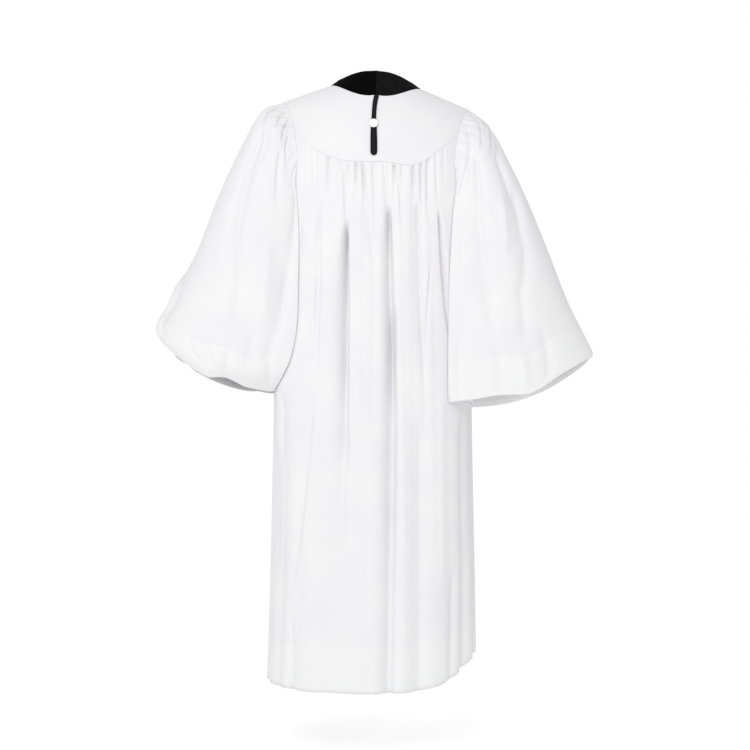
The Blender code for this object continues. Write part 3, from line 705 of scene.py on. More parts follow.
@dataclass(frozen=True)
class TumbledPolyesterResin:
    """White polyester resin, cast in a sheet, cut as a button and tumbled to a satin.

    It is a bright, slightly cloudy white with a soft highlight.
    """

    name: str = "tumbled_polyester_resin"
    white: str = "#FAFAF8"
    cloud: str = "#F0F0EE"
    cloud_mm: float = 5.0

    def make(self) -> bpy.types.Material:
        """Builds the material.

        Returns:
            The material, which reads Object coordinates.
        """
        material, tree, shader = new_material(self.name)
        add = partial(add_node, tree)
        place = add("ShaderNodeTexCoord", {}, {}, "Object")
        clouds = add("ShaderNodeTexNoise", {"Scale": per_metre(self.cloud_mm), "Detail": 2.0}, {0: place})
        colour = add("ShaderNodeValToRGB", {"stops": [(0.35, self.cloud), (0.65, self.white)]}, {0: clouds})
        bump = add("ShaderNodeBump", {"Strength": 0.08, "Distance": 0.2 * MM}, {"Height": clouds})
        set_node(tree, shader, {"Roughness": 0.30, "IOR": 1.54}, {"Base Color": colour, "Normal": bump})
        return material


@dataclass(frozen=True)
class RolledFloorPaint:
    """Matt white paint, rolled on a lit studio floor, with the faint mottle of the roller."""

    name: str = "rolled_floor_paint"
    dim: str = "#A8A8A8"
    pale: str = "#B4B4B4"
    mottle_mm: float = 180.0
    glow: float = 0.72

    def make(self) -> bpy.types.Material:
        """Builds the material.

        Returns:
            The material, which reads Object coordinates.
        """
        material, tree, shader = new_material(self.name)
        add = partial(add_node, tree)
        place = add("ShaderNodeTexCoord", {}, {}, "Object")
        mottle = add("ShaderNodeTexNoise", {"Scale": per_metre(self.mottle_mm), "Detail": 2.0}, {0: place})
        colour = add("ShaderNodeValToRGB", {"stops": [(0.3, self.dim), (0.7, self.pale)]}, {0: mottle})
        lit = {"Roughness": 0.90, "Emission Color": linear("#FFFFFF"), "Emission Strength": self.glow}
        set_node(tree, shader, lit, {"Base Color": colour})
        return material


# Cloth


def flat_lengths(points: np.ndarray, axis: int) -> np.ndarray:
    """How far along the cloth each point of a grid lies from the first one on its line.

    Args:
        points: a grid of points.
        axis: the axis of the lines.

    Returns:
        Lengths in metres.
    """
    steps = np.linalg.norm(np.diff(points, axis=axis), axis=-1)
    start = np.zeros_like(np.take(steps, [0], axis=axis))
    return np.concatenate([start, np.cumsum(steps, axis=axis)], axis=axis)


@dataclass
class Cut:
    """The flat piece of cloth that a shell was cut from, in metres, how it is held and what it lies on."""

    width: float
    length: float
    area: float
    held: Held
    rests_on: tuple[str, ...] = ()


@dataclass
class Cloth:
    """A shell of cloth, built on a grid of points, that takes a CAD node's place."""

    node: str
    slot: Slot
    points: np.ndarray
    outward: Vector
    cut: Cut
    closed: bool = False
    seams: tuple[Edge, ...] = ()
    hem: float = 0.0
    thickness: float = 0.9 * MM
    seam_depth: float = 1.5 * MM
    seam_lean: float = 0.7 * MM
    seam_dip: float = 0.10 * MM
    seam_inset: float = 0.015 * MM
    seam_shoulder: float = 0.7 * MM
    shoulder_share: float = 0.5
    hem_gap: float = 2.2 * MM
    hem_turn: float = 2.0 * MM
    hem_lines: int = 7
    bevel: float = 0.0
    bevel_segments: int = 3
    bevel_angle: float = math.radians(50)

    def normals(self) -> np.ndarray:
        """Directions out of the cloth at the grid's points.

        Returns:
            A grid of directions of length 1.
        """
        if self.closed:
            wrapped = np.concatenate([self.points[:, -1:], self.points, self.points[:, :1]], axis=1)
            across = wrapped[:, 2:] - wrapped[:, :-2]
        else:
            across = np.gradient(self.points, axis=1)
        made = unit(np.cross(across, np.gradient(self.points, axis=0)))
        column = 0 if self.closed else self.points.shape[1] // 2
        return made if made[self.points.shape[0] // 2, column] @ np.array(self.outward) > 0 else -made

    def turn_up_hem(self, points: np.ndarray, normals: np.ndarray) -> tuple[np.ndarray, ...]:
        """Adds the hem's allowance, turned up inside the cloth.

        Args:
            points: the cloth's points.
            normals: the directions out of it.

        Returns:
            Points, directions and each point's height above the hem, less than 0 on the allowance.
        """
        rising = points[::-1]
        up = flat_lengths(rising, 0)
        inside = rising - normals[::-1] * self.hem_gap
        levels = np.linspace(0.0, self.hem, self.hem_lines)
        lines = np.empty((self.hem_lines, points.shape[1], 3))
        turned = np.empty_like(lines)
        for column in range(points.shape[1]):
            for k in range(3):
                lines[:, column, k] = np.interp(levels, up[:, column], inside[:, column, k])
                turned[:, column, k] = np.interp(levels, up[:, column], normals[::-1][:, column, k])
        below = np.broadcast_to(-levels[:, None], lines.shape[:2])
        heights = np.concatenate([up[::-1], below - self.hem_turn])
        return np.concatenate([points, lines]), np.concatenate([normals, turned]), heights

    def roll_seam(self, edge: Edge, grids: list[np.ndarray]) -> list[np.ndarray]:
        """Turns an edge inward, as a seam does, so that a soft groove shows along it.

        Args:
            edge: the edge.
            grids: the points, the directions out of the cloth and the heights above the hem.

        Returns:
            The three grids with the rolled edge.
        """
        points, normals, heights = grids
        axis, far = edge.value
        end, near = (-1, -2) if far else (0, 1)
        line, inner = np.take(points, end, axis=axis), np.take(points, near, axis=axis)
        down, level = np.take(normals, end, axis=axis), np.take(heights, end, axis=axis)
        room = np.linalg.norm(inner - line, axis=-1, keepdims=True)
        toward = unit(inner - line)
        # The allowance's wall lies on the seam's side, so its edge is set back by that wall
        back = np.where(level < 0, self.thickness + self.seam_inset, 0.0)[:, None]
        line, room = line + toward * back, room - back
        lip = line + toward * self.seam_inset
        parts = [
            lip + toward * self.seam_lean - down * self.seam_depth,
            lip - down * self.seam_dip,
            line + toward * np.minimum(self.seam_shoulder, room * self.shoulder_share),
        ]
        rolled = []
        for grid, lines in ((points, parts), (normals, [down] * len(parts)), (heights, [level] * len(parts))):
            rest = np.delete(grid, end, axis=axis)
            rim = np.stack(lines[::-1] if far else lines, axis=axis)
            rolled.append(np.concatenate([rest, rim] if far else [rim, rest], axis=axis))
        return rolled

    def build(self, material: bpy.types.Material) -> bpy.types.Object:
        """Makes the shell as one mesh with a real thickness.

        Args:
            material: its finish.

        Returns:
            The piece, riding on the body and standing for its node.
        """
        points, normals = self.points, self.normals()
        heights = flat_lengths(points[::-1], 0)[::-1]
        if self.hem:
            points, normals, heights = self.turn_up_hem(points, normals)
        grids = [points, normals, heights]
        for edge in self.seams:
            grids = self.roll_seam(edge, grids)
        points, normals, heights = grids
        height, width, _ = points.shape
        rim = width if self.closed else width - 1
        row, column = np.meshgrid(np.arange(height - 1), np.arange(rim), indexing="ij")
        corners = [(row, column), (row + 1, column), (row + 1, column + 1), (row, column + 1)]
        quads = np.stack([r * width + c % width for r, c in corners], axis=-1).reshape(-1, 4)
        mesh = bpy.data.meshes.new(self.node + "_cloth")
        mesh.from_pydata(points.reshape(-1, 3).tolist(), [], quads.tolist())
        across = flat_lengths(points, 1)
        last = across[:, -1:] + np.linalg.norm(points[:, :1] - points[:, -1:], axis=-1)
        wide = np.concatenate([across, last], axis=1) - across[:, width // 2, None]
        tall = np.concatenate([heights, heights[:, :1]], axis=1)
        uv = np.stack([np.stack([wide[r, c], tall[r, c]], axis=-1) for r, c in corners], axis=2)
        mesh.uv_layers.new(name="cloth").data.foreach_set("uv", uv.astype(np.float32).ravel())
        mesh.update()
        middle = (height // 2) * rim + (0 if self.closed else rim // 2)
        out = Vector(normals[height // 2, 0 if self.closed else width // 2])
        if mesh.polygons[middle].normal @ out < 0:
            mesh.flip_normals()
        mesh.shade_smooth()
        piece = bpy.data.objects.new(self.node + "_cloth", mesh)
        bpy.context.scene.collection.objects.link(piece)
        piece.data.materials.append(material)
        self.thicken(piece)
        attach(piece, "root")
        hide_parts(self.node)
        cut = self.cut
        list(cut.rests_on)
        faces = piece.data.polygons
        area = sum(face.area for face in faces) / 2
        LOG.info("%s: %d faces, %.3f m2 of cloth, cut %.3f m2", piece.name, len(faces), area, cut.area)
        return piece

    def thicken(self, piece: bpy.types.Object) -> None:
        """Gives the shell its thickness and, where it has one, the soft bevel of its edges.

        Args:
            piece: the shell.
        """
        wall = piece.modifiers.new("thickness", "SOLIDIFY")
        wall.thickness = self.thickness
        wall.offset = -1.0
        if self.bevel:
            softened = piece.modifiers.new("softened", "BEVEL")
            softened.width = self.bevel
            softened.segments = self.bevel_segments
            softened.limit_method = "ANGLE"
            softened.angle_limit = self.bevel_angle
        bpy.ops.object.select_all(action="DESELECT")
        bpy.context.view_layer.objects.active = piece
        piece.select_set(True)
        for modifier in list(piece.modifiers):
            bpy.ops.object.modifier_apply(modifier=modifier.name)
        piece.select_set(False)


# Panels and yokes


BACK_FLUTES = (
    Flute(54, 76, 77, 0.5, 1, 7, 7),
    Flute(50, 60, 60, 0.8, 1, 8, 7),
    Flute(46, 46, 46, 5, 3, 4, 6),
    Flute(40.9, 38, 34.6, 5, 1, 0, 3),
    Flute(32.1, 31, 28, 5, 1, 3, 8),
    Flute(25.6, 22, 17, 5, 3, 2, 5.5),
    Flute(18.6, 15, 9, 7, 1, 0, 3),
    Flute(11.2, 8, 3.4, 7, 1, 0, 3),
    Flute(0.9, 0, 0.6, 8, 2, 0, 4),
    Flute(-11.2, -13, -9.7, 5, 6, 12, 4.6),
    Flute(-16.9, -18.6, -15.2, 7, 1, 0, 3),
    Flute(-23.8, -24.0, -20, 7, 1, 0, 3),
    Flute(-32.8, -29.5, -26.5, 5, 3, 5, 6.5),
    Flute(-38.9, -37, -33, 7, 3, 0, 3),
    Flute(-44.5, -44, -40, 8, 2, 1, 4),
    Flute(-48.5, -51, -49, 1, 1, 4, 6),
    Flute(-52, -62, -61, 0.8, 1, 7, 7),
    Flute(-55, -77, -77, 0.5, 1, 8, 7),
)
FRONT_LEFT_FLUTES = (
    Flute(54, 76, 76, 2, 7, 13, 6),
    Flute(47, 61, 61, 6, 8, 16, 6),
    Flute(39, 46, 47, 8, 12, 20, 6),
    Flute(30, 34, 34, 9, 5, 4, 5),
    Flute(20.5, 22, 23, 8, 16, 24, 6),
    Flute(10, 10, 11, 7, 3, 4, 4),
)
FRONT_RIGHT_FLUTES = (
    Flute(-11, -12, -12, 7, 12, 20, 5),
    Flute(-21, -22, -23, 8, 4, 5, 4),
    Flute(-30, -33, -34, 9, 14, 23, 6),
    Flute(-39, -46, -47, 7, 6, 8, 5),
    Flute(-47, -61, -60, 6, 10, 18, 6),
    Flute(-54, -76, -76, 2, 7, 13, 6),
)
# Short gathers between the flutes, then long soft troughs and ridges lower down
BACK_CREASES = (
    Crease(63.8, 64.1, 0.1, 3.5, 4, 1.32),
    Crease(57.0, 57.9, 0.1, 3.2, 3, 0.97),
    Crease(52.3, 52.5, 0.1, 3.5, 4, 1.08, 0.2),
    Crease(47.3, 47.5, 0.1, 3.6, 3.5, 1.26),
    Crease(40.4, 41.8, 0.1, 3.4, 6.5, 1.26, 0.3),
    Crease(36.5, 36.7, 0.1, 2.5, 3, 1.01),
    Crease(31.5, 25.2, 0.1, 4.5, 7, 1.39, 0.2),
    Crease(25.5, 24.2, 0.1, 2.4, 2.6, 1.07),
    Crease(18.8, 17.4, 0.1, 2.8, 5, 1.31),
    Crease(14.0, 8.4, 0.1, 3.5, 7, 1.53, 0.2),
    Crease(8.5, 0.1, 3.3, 5.5, 4, 2.70, 0.3),
    Crease(3.8, 2.1, 0.1, 2.9, 3, 1.52),
    Crease(-6.7, -9.9, 0.1, 3.9, 3.2, 1.57),
    Crease(-16.5, -18.9, 0.1, 2.6, 6.5, 1.44, -0.2),
    Crease(-20.7, -23.0, 1.7, 4.3, 4.2, 1.32),
    Crease(-25.9, -26.8, 0.1, 2.5, 3, 1.15),
    Crease(-32.7, -33.9, 0.1, 3.3, 6.5, 1.39, -0.2),
    Crease(-39.0, -39.3, 0.1, 3.5, 4, 1.12),
    Crease(-43.6, -42.7, 0.1, 4.4, 5.5, 1.12, 0.2),
    Crease(-49.0, -49.8, 0.1, 3.9, 4, 1.21),
    Crease(-54.0, -54.6, 0.1, 3.1, 3, 1.08),
    Crease(58.6, 56.3, 3.7, 5.7, 2.5, 1.27, -0.3, 0.7),
    Crease(45.5, 38.9, 3.5, 8.6, 9, 3.22, 0.6, 0.5),
    Crease(45.2, 42.4, 5.6, 7.5, 3, 0.88),
    Crease(24.7, 17.0, 3.7, 10.1, 30, 4.64, 0.66, 0.4),
    Crease(-13.1, -16.0, 3.1, 9.1, 21, 4.35, 0.62, 0.45),
    Crease(-17.1, -13.7, 6.2, 11.8, 20, 4.18, 0.62, 0.55),
    Crease(-36.0, -36.6, 2.9, 9.0, 11, 3.78, 0.6, 0.5),
    Crease(-43.3, -35.7, 5.4, 8.0, 5, 1.08, -0.2, 0.7),
    Crease(-50.3, -54.0, 3.7, 7.6, 14, 1.82, 0, 0.4),
    Crease(19.6, 21.4, 8.6, 11.7, 10, 6.25, 0.3),
    Crease(-14.3, -10.2, 9.8, 15.8, 8, 2.81, 0.6),
    Crease(25.6, 22.4, 9.8, 15.8, 6, 10.80),
    Crease(-33.1, -26.7, 8.4, 15.8, 8, 4.80, -0.1),
    Crease(0.5, -2.9, 8.4, 15.8, -3, 5.85),
    Crease(-21.8, -18.1, 8.0, 15.8, -3, 3.75),
    Crease(-47.0, -41.4, 8.2, 12.7, -3, 5.20),
    Crease(41.0, 42.9, 8.4, 9.8, 5, 1.95, 0.2),
    Crease(42.6, 51.1, 9.6, 11.9, 6, 2.16, 0.35),
    Crease(-64.3, -61.0, 9.0, 12.0, 6, 6.90, -0.3),
    Crease(-64.5, -51.0, 11.2, 15.8, 9, 5.50),
    Crease(71.6, 66.0, 9.6, 11.9, 8, 7.09),
    Crease(65.5, 63.3, 8.7, 9.9, 8, 4.51),
    Crease(51.2, 44.4, 11.8, 15.8, 8, 3.26),
    Crease(-52.4, -41.8, 11.3, 15.8, 6, 3.87),
)
FRONT_LEFT_CREASES = (
    Crease(43, 43.6, 0.1, 3, 4.6, 0.95),
    Crease(34.4, 34, 0.1, 2.6, 5.0, 0.95),
    Crease(25.4, 25.8, 0.1, 3.4, 4.6, 0.95),
    Crease(15.2, 15.6, 0.1, 2.8, 5.0, 0.95),
    Crease(5.6, 6, 0.1, 3, 3.4, 0.85),
    Crease(40, 41, 4.0, 12.8, -2.6, 2.4),
    Crease(28, 29, 3.5, 12.0, 2.4, 2.6),
    Crease(16, 16.5, 4.5, 12.9, -2.6, 2.2),
    Crease(54, 54, 5.0, 12.6, 2.8, 3.0),
    Crease(69, 69, 10.2, 12.9, -3.2, 3.2),
)
FRONT_RIGHT_CREASES = (
    Crease(-6, -6.4, 0.1, 3, 3.4, 0.85),
    Crease(-16, -16.6, 0.1, 2.6, 5.0, 0.95),
    Crease(-25.6, -26.4, 0.1, 3.4, 4.6, 0.95),
    Crease(-34.6, -36, 0.1, 2.8, 5.0, 0.95),
    Crease(-43.2, -44, 0.1, 3, 4.2, 0.95),
    Crease(-17, -17.5, 4.0, 12.8, -2.6, 2.4),
    Crease(-28, -28, 3.5, 12.4, 2.4, 2.6),
    Crease(-40, -40, 4.5, 12.9, -2.6, 2.4),
    Crease(-54, -54, 5.0, 12.6, 2.8, 3.0),
    Crease(-69, -69, 10.2, 12.9, -3.2, 3.2),
)


@dataclass
class FlutedPanel:
    """A panel gathered into a yoke, whose flutes follow the photo and whose edges follow the armholes."""

    node: str
    armhole: Armhole
    facing: Facing
    sides: tuple[int, int]
    flutes: tuple[Flute, ...]
    creases: tuple[Crease, ...]
    seam_z: float
    cut: Cut
    seam_dip: float = 0.012
    seam_dip_at: float = math.radians(-33)
    seam_dip_width: float = math.radians(15)
    seam_dip_rows: float = 5.0
    seam_flatness: float = 4.0
    row_crowding: float = 1.8
    hem_lift: float = 0.060
    hem_lift_at: float = math.radians(-80)
    hem_lift_width: float = math.radians(32)
    hem_lift_power: float = 4.0
    mid_row: float = 7.5
    top_width: float = 2.3
    armhole_fade: float = 0.050
    centre_fade: float = 0.025
    flute_start: float = 0.006
    puff: float = 2.2 * MM
    puff_length: float = 0.09
    gather_rows: float = 4.8
    fade_in: float = 8.0
    fade_out: float = 2.5
    flare_pace: float = 2.0
    rows: int = 104
    row_share: float = 0.7
    steps: int = 16
    edge_steps: int = 14
    hem: float = BODY_HEM

    def place(self, away: np.ndarray, row: np.ndarray) -> np.ndarray:
        """Points of the panel's smooth form.

        Args:
            away: angles from its centre line.
            row: rows down from the yoke.

        Returns:
            The points.
        """
        side = np.where(away >= 0, 1, -1)
        edge_angle, edge_z = self.armhole.edge_place(side, row, self.facing)
        down = row / self.armhole.panel_rows
        mid_z = mix(self.seam_z, self.armhole.hem_z, down**self.row_crowding)
        z = mix(mid_z, edge_z, np.minimum(np.abs(away) / edge_angle, 1.0) ** self.seam_flatness)
        angle = away
        if self.facing is Facing.BACK:
            dip = bell(away - self.seam_dip_at, self.seam_dip_width)
            z = z - self.seam_dip * dip * np.clip(1 - row / self.seam_dip_rows, 0, None)
        else:
            angle = math.pi - away
        turned = np.remainder(angle - self.hem_lift_at + math.pi, 2 * math.pi) - math.pi
        z = z + self.hem_lift * bell(turned, self.hem_lift_width) * down**self.hem_lift_power
        return self.armhole.figure.point(angle, z)

    def valleys(self, row: np.ndarray) -> list[tuple[np.ndarray, np.ndarray, np.ndarray]]:
        """Each flute's angle, depth and half width on rows.

        Args:
            row: rows down from the yoke.

        Returns:
            One set of three for each flute.
        """
        made = []
        below = row > self.mid_row
        for flute in self.flutes:
            high_turn = mix(flute.top, flute.mid, (row / self.mid_row) ** 2)
            share = (row - self.mid_row) / (self.armhole.panel_rows - self.mid_row)
            angle = np.where(below, mix(flute.mid, flute.hem, share), high_turn)
            high = ease(row / self.mid_row)
            deep = np.where(below, mix(flute.deep_mid, flute.deep_hem, ease(share)),
                            mix(flute.deep_top, flute.deep_mid, ease(row / self.gather_rows)))
            width = mix(self.top_width, flute.spread, high)
            made.append((np.radians(angle), deep * MM, np.radians(width)))
        return made

    def edges(self, row: np.ndarray) -> list[np.ndarray]:
        """The angles of the panel's two edges on rows."""
        return [side * self.armhole.edge_place(side, row, self.facing)[0] if side else 0 * row
                for side in self.sides]

    def turns(self, row: np.ndarray) -> np.ndarray:
        """The angles of the panel's columns, which follow the valleys.

        Args:
            row: rows down from the yoke.

        Returns:
            One line of angles for each row.
        """
        first, last = self.edges(row)
        marks = [first] + [angle for angle, _, _ in self.valleys(row)] + [last]
        counts = [self.steps] * (len(marks) - 1)
        if self.sides[0]:
            counts[0] = self.edge_steps
        if self.sides[1]:
            counts[-1] = self.edge_steps
        lines = [mix(start, end, step / count) for start, end, count in zip(marks, marks[1:], counts)
                 for step in range(count)]
        return np.stack(lines + [last], axis=-1)

    def fold_depth(self, away: np.ndarray, row: np.ndarray) -> np.ndarray:
        """How far flutes and creases carry the cloth inward.

        Args:
            away: angles, a line for each row.
            row: rows, as a column.

        Returns:
            Depths in metres.
        """
        depth = sum(deep * fold(away - angle, width) for angle, deep, width in self.valleys(row))
        for crease in self.creases:
            share = (row - crease.start_row) / (crease.end_row - crease.start_row)
            fade = ease(share * self.fade_in) * ease((1 - share) * self.fade_out)
            centre = np.radians(mix(crease.start_turn, crease.end_turn, np.clip(share, 0, 1)))
            width = math.radians(crease.width) * mix(crease.flare, 1.0, ease(share * self.flare_pace))
            depth = depth + crease.deep * MM * fade * fold(away - centre, width, crease.lean)
        return depth

    def edge_fade(self, away: np.ndarray, row: np.ndarray) -> np.ndarray:
        """The share of the folds that is left near the panel's two edges.

        Args:
            away: angles, a line for each row.
            row: rows, as a column.

        Returns:
            Shares from 0 to 1.
        """
        share = np.ones_like(away)
        for edge in self.edges(row):
            fade = self.centre_fade if np.all(edge == 0) else self.armhole_fade
            share = share * ease(np.abs(edge - away) * self.armhole.shoulder_half / fade)
        return share

    def grid(self) -> np.ndarray:
        """The panel's points, with the gathers' puff under the yoke.

        Returns:
            A grid of points, a line for each row.
        """
        row = np.linspace(0, 1, self.rows + 1)[:, None] ** self.row_share * self.armhole.panel_rows
        away = self.turns(row[:, 0])
        depth = self.fold_depth(away, row)
        points = self.place(away, row)
        below = np.linalg.norm(points - self.place(away, 0 * row), axis=-1)
        depth = depth - self.puff * (1 - ease(below / self.puff_length))
        depth = depth * ease(below / self.flute_start) * self.edge_fade(away, row)
        return points - self.armhole.figure.normal(points) * depth[..., None]

    def cloth(self) -> Cloth:
        """The panel as a shell, rolled under at its seams.

        Returns:
            The shell.
        """
        outward = Vector((0, self.facing.value, 0))
        return Cloth(self.node, Slot.CREPE, self.grid(), outward, self.cut,
                     seams=(Edge.TOP, Edge.FIRST, Edge.LAST), hem=self.hem)


@dataclass(frozen=True)
class NeckLine:
    """The neck seam on the shoulders, as an x and a turn."""

    half: float = 0.1075
    back_turn: float = math.radians(45.6)
    roundness: float = 1.4
    v_turn: float = math.radians(81.6)
    v_curve: float = 1.5
    v_pace: float = 0.9

    def back(self, turn: np.ndarray) -> np.ndarray:
        """Places behind: turn is 0 at the centre back, a right angle at the shoulder line."""
        drop = self.back_turn * np.clip(np.cos(turn), 0, 1) ** self.roundness
        return np.stack([self.half * np.sin(turn), drop], axis=-1)

    def front(self, side: int, share: np.ndarray) -> np.ndarray:
        """Places in front, from the shoulder line down to the point of the V."""
        x = side * self.half * (1 - share**self.v_curve)
        return np.stack([x, -self.v_turn * share**self.v_pace], axis=-1)


def coons(top: np.ndarray, bottom: np.ndarray, left: np.ndarray, right: np.ndarray) -> np.ndarray:
    """Places inside four edges, blended from all of them.

    Args:
        top: places along the top edge, from left to right.
        bottom: as many along the bottom edge.
        left: places down the left edge.
        right: as many down the right edge.

    Returns:
        A grid of places.
    """
    v = np.linspace(0, 1, len(left))[:, None, None]
    u = np.linspace(0, 1, len(top))[None, :, None]
    ends = (1 - v) * top[None] + v * bottom[None]
    sides = (1 - u) * left[:, None] + u * right[:, None]
    corners = (1 - u) * ((1 - v) * top[0] + v * bottom[0]) + u * ((1 - v) * top[-1] + v * bottom[-1])
    return ends + sides - corners


@dataclass
class Yoke:
    """A smooth yoke that lies on the shoulders, laid over the panel's gathers at its lower seam."""

    node: str
    panel: FlutedPanel
    neck: NeckLine
    cut: Cut
    side: Side | None = None
    rows: int = 30
    shoulder_columns: int = 27
    neck_columns: int = 60
    front_columns: int = 48
    lip: float = 0.4 * MM
    lip_start: float = 0.7
    lip_run: float = 0.3
    upward: float = 0.3

    def seam(self, away: np.ndarray) -> np.ndarray:
        """Places on the fluted seam at angles from the centre line."""
        return self.panel.armhole.figure.arch_place(self.panel.place(away, 0 * away))

    def armhole_places(self, side: int, first: float, last: float) -> np.ndarray:
        """Places down an armhole.

        Args:
            side: the sign of X.
            first: the step round it that the line starts at.
            last: the step that it ends at.

        Returns:
            One place for each row.
        """
        steps = np.linspace(first, last, self.rows + 1)
        armhole = self.panel.armhole
        return armhole.figure.arch_place(armhole.point(side, steps))

    def grid(self) -> np.ndarray:
        """The yoke's points, proud by a small lip at the fluted seam.

        Returns:
            A grid of points, a line for each row.
        """
        armhole = self.panel.armhole
        wide = armhole.shoulder_half
        node = armhole.yoke_node
        if self.side is None:
            columns = 2 * self.shoulder_columns + self.neck_columns
            edges = [float(edge[0]) for edge in self.panel.edges(np.zeros(1))]
            line = np.linspace(wide, self.neck.half, self.shoulder_columns, endpoint=False)
            left_line = np.stack([line, 0 * line], axis=-1)
            neck = self.neck.back(np.linspace(math.pi / 2, -math.pi / 2, self.neck_columns + 1))
            top = np.concatenate([left_line, neck, (left_line * (-1, 1))[::-1]])
            bottom = self.seam(np.linspace(edges[0], edges[1], columns + 1))
            places = coons(top, bottom, self.armhole_places(1, 0, node), self.armhole_places(-1, 0, node))
            places[..., 1] = np.maximum(places[..., 1], 0.0)
        else:
            sign = self.side.value
            edge = sign * float(armhole.edge_place(sign, np.zeros(1), Facing.FRONT)[0][0])
            line = sign * np.linspace(wide, self.neck.half, self.front_columns + 1)
            top = np.stack([line, 0 * line], axis=-1)
            bottom = self.seam(np.linspace(edge, 0.0, self.front_columns + 1))
            left = self.armhole_places(sign, armhole.nodes, armhole.nodes - node)
            right = self.neck.front(sign, np.linspace(0, 1, self.rows + 1))
            places = coons(top, bottom, left, right)
            places[..., 1] = np.minimum(places[..., 1], JUST_FRONT)
        points = armhole.figure.arch(places[..., 0], places[..., 1])
        down = np.linspace(0, 1, self.rows + 1)[:, None]
        proud = self.lip * ease((down - self.lip_start) / self.lip_run) * np.ones(points.shape[:2])
        return points + armhole.figure.normal(points) * proud[..., None]

    def cloth(self) -> Cloth:
        """The yoke as a shell, rolled under at its seams."""
        outward = Vector((0, self.panel.facing.value, self.upward))
        return Cloth(self.node, Slot.CREPE, self.grid(), outward, self.cut, seams=tuple(Edge))


# Sleeves


LEFT_RINGS = (
    Ring(0.259, -0.055, 0.177, -0.245, -0.345, 0.116, 0.104, 0.000, 0.000),
    Ring(0.309, -0.140, 0.172, -0.300, -0.395, 0.134, 0.118, 0.000, 0.000),
    Ring(0.362, -0.255, 0.170, -0.370, -0.450, 0.146, 0.130, 0.000, 0.004),
    Ring(0.409, -0.376, 0.170, -0.455, -0.520, 0.152, 0.136, 0.004, 0.012),
    Ring(0.466, -0.482, 0.172, -0.550, -0.590, 0.154, 0.140, 0.008, 0.022),
    Ring(0.503, -0.545, 0.186, -0.622, -0.640, 0.148, 0.138, 0.018, 0.023),
    Ring(0.494, -0.580, 0.206, -0.660, -0.668, 0.134, 0.130, 0.027, 0.020),
    Ring(0.472, -0.604, 0.228, -0.686, -0.692, 0.114, 0.116, 0.029, 0.018),
)
RIGHT_RINGS = (
    Ring(0.257, -0.088, 0.177, -0.250, -0.345, 0.116, 0.104, 0.000, 0.000),
    Ring(0.308, -0.180, 0.170, -0.310, -0.400, 0.134, 0.118, 0.000, 0.000),
    Ring(0.350, -0.270, 0.165, -0.380, -0.455, 0.146, 0.130, 0.000, 0.004),
    Ring(0.393, -0.375, 0.161, -0.460, -0.520, 0.152, 0.136, 0.008, 0.008),
    Ring(0.438, -0.490, 0.159, -0.555, -0.595, 0.154, 0.140, 0.018, 0.012),
    Ring(0.478, -0.570, 0.158, -0.640, -0.660, 0.152, 0.142, 0.030, 0.016),
    Ring(0.494, -0.602, 0.158, -0.690, -0.708, 0.148, 0.142, 0.038, 0.020),
    Ring(0.497, -0.618, 0.159, -0.714, -0.728, 0.146, 0.142, 0.040, 0.024),
)
# Gathers of the cap first, then the long folds and the small ones above the hem, behind and in front
LEFT_TROUGHS = (
    Trough(46, 76, 0.0, 0.9, 7, 1.5),
    Trough(74, 82, 0.8, 2.6, 6, 2.8, 0.3),
    Trough(23, 52, 0.2, 1.4, 8, 1.5),
    Trough(34, 61, 0.1, 0.8, 6, 1.5),
    Trough(61, 61, 0.8, 2.0, 6, 2.5),
    Trough(30, 39, 0.7, 1.4, 6, 3.5),
    Trough(64, 89, 0.2, 1.2, 6, 1.6),
    Trough(50, 55, 1.2, 2.6, 12, 7.0, 0.25),
    Trough(52, 62, 2.1, 3.6, 15, 6.7, 0.3),
    Trough(56, 72, 3.0, 4.4, 11, 4.0),
    Trough(68, 74, 3.9, 5.3, 9, 4.0, 0.2),
    Trough(104, 95, 1.0, 4.0, 8, 5.0, -0.2),
    Trough(96, 89, 3.3, 6.8, 11, 4.0, -0.3),
    Trough(29, 55, 3.6, 4.3, -4, 3.3),
    Trough(81, 86, 3.2, 5.5, -6, 4.5),
    Trough(19, 39, 4.4, 6.7, 13, 8.2, 0.3),
    Trough(2, 50, 4.2, 6.6, -7, 3.3),
    Trough(82, 83, 5.1, 6.9, 5, 2.5),
    Trough(75, 73, 5.5, 7.8, 5, 1.7),
    Trough(61, 73, 5.4, 7.8, 6, 2.5),
    Trough(55, 64, 5.7, 7.4, 5, 2.0),
    Trough(90, 98, 5.6, 8.0, 6, 2.0),
    Trough(-38, -46, 0.6, 6.0, 12, 13),
    Trough(-78, -70, 1.5, 8.0, 9, 10),
    Trough(-20, -16, 4.0, 9.0, 7, 8),
    Trough(-28, -34, 0.2, 3.0, 7, 4),
    Trough(-56, -60, 0.2, 3.4, 7, 4),
    Trough(-34, -48, 4.0, 6.8, 7, 5),
    Trough(-66, -58, 4.8, 7.6, -7, 5),
    Trough(-40, -44, 6.2, 8.6, 8, 4),
    Trough(-84, -90, 5.4, 8.6, 8, 5),
)
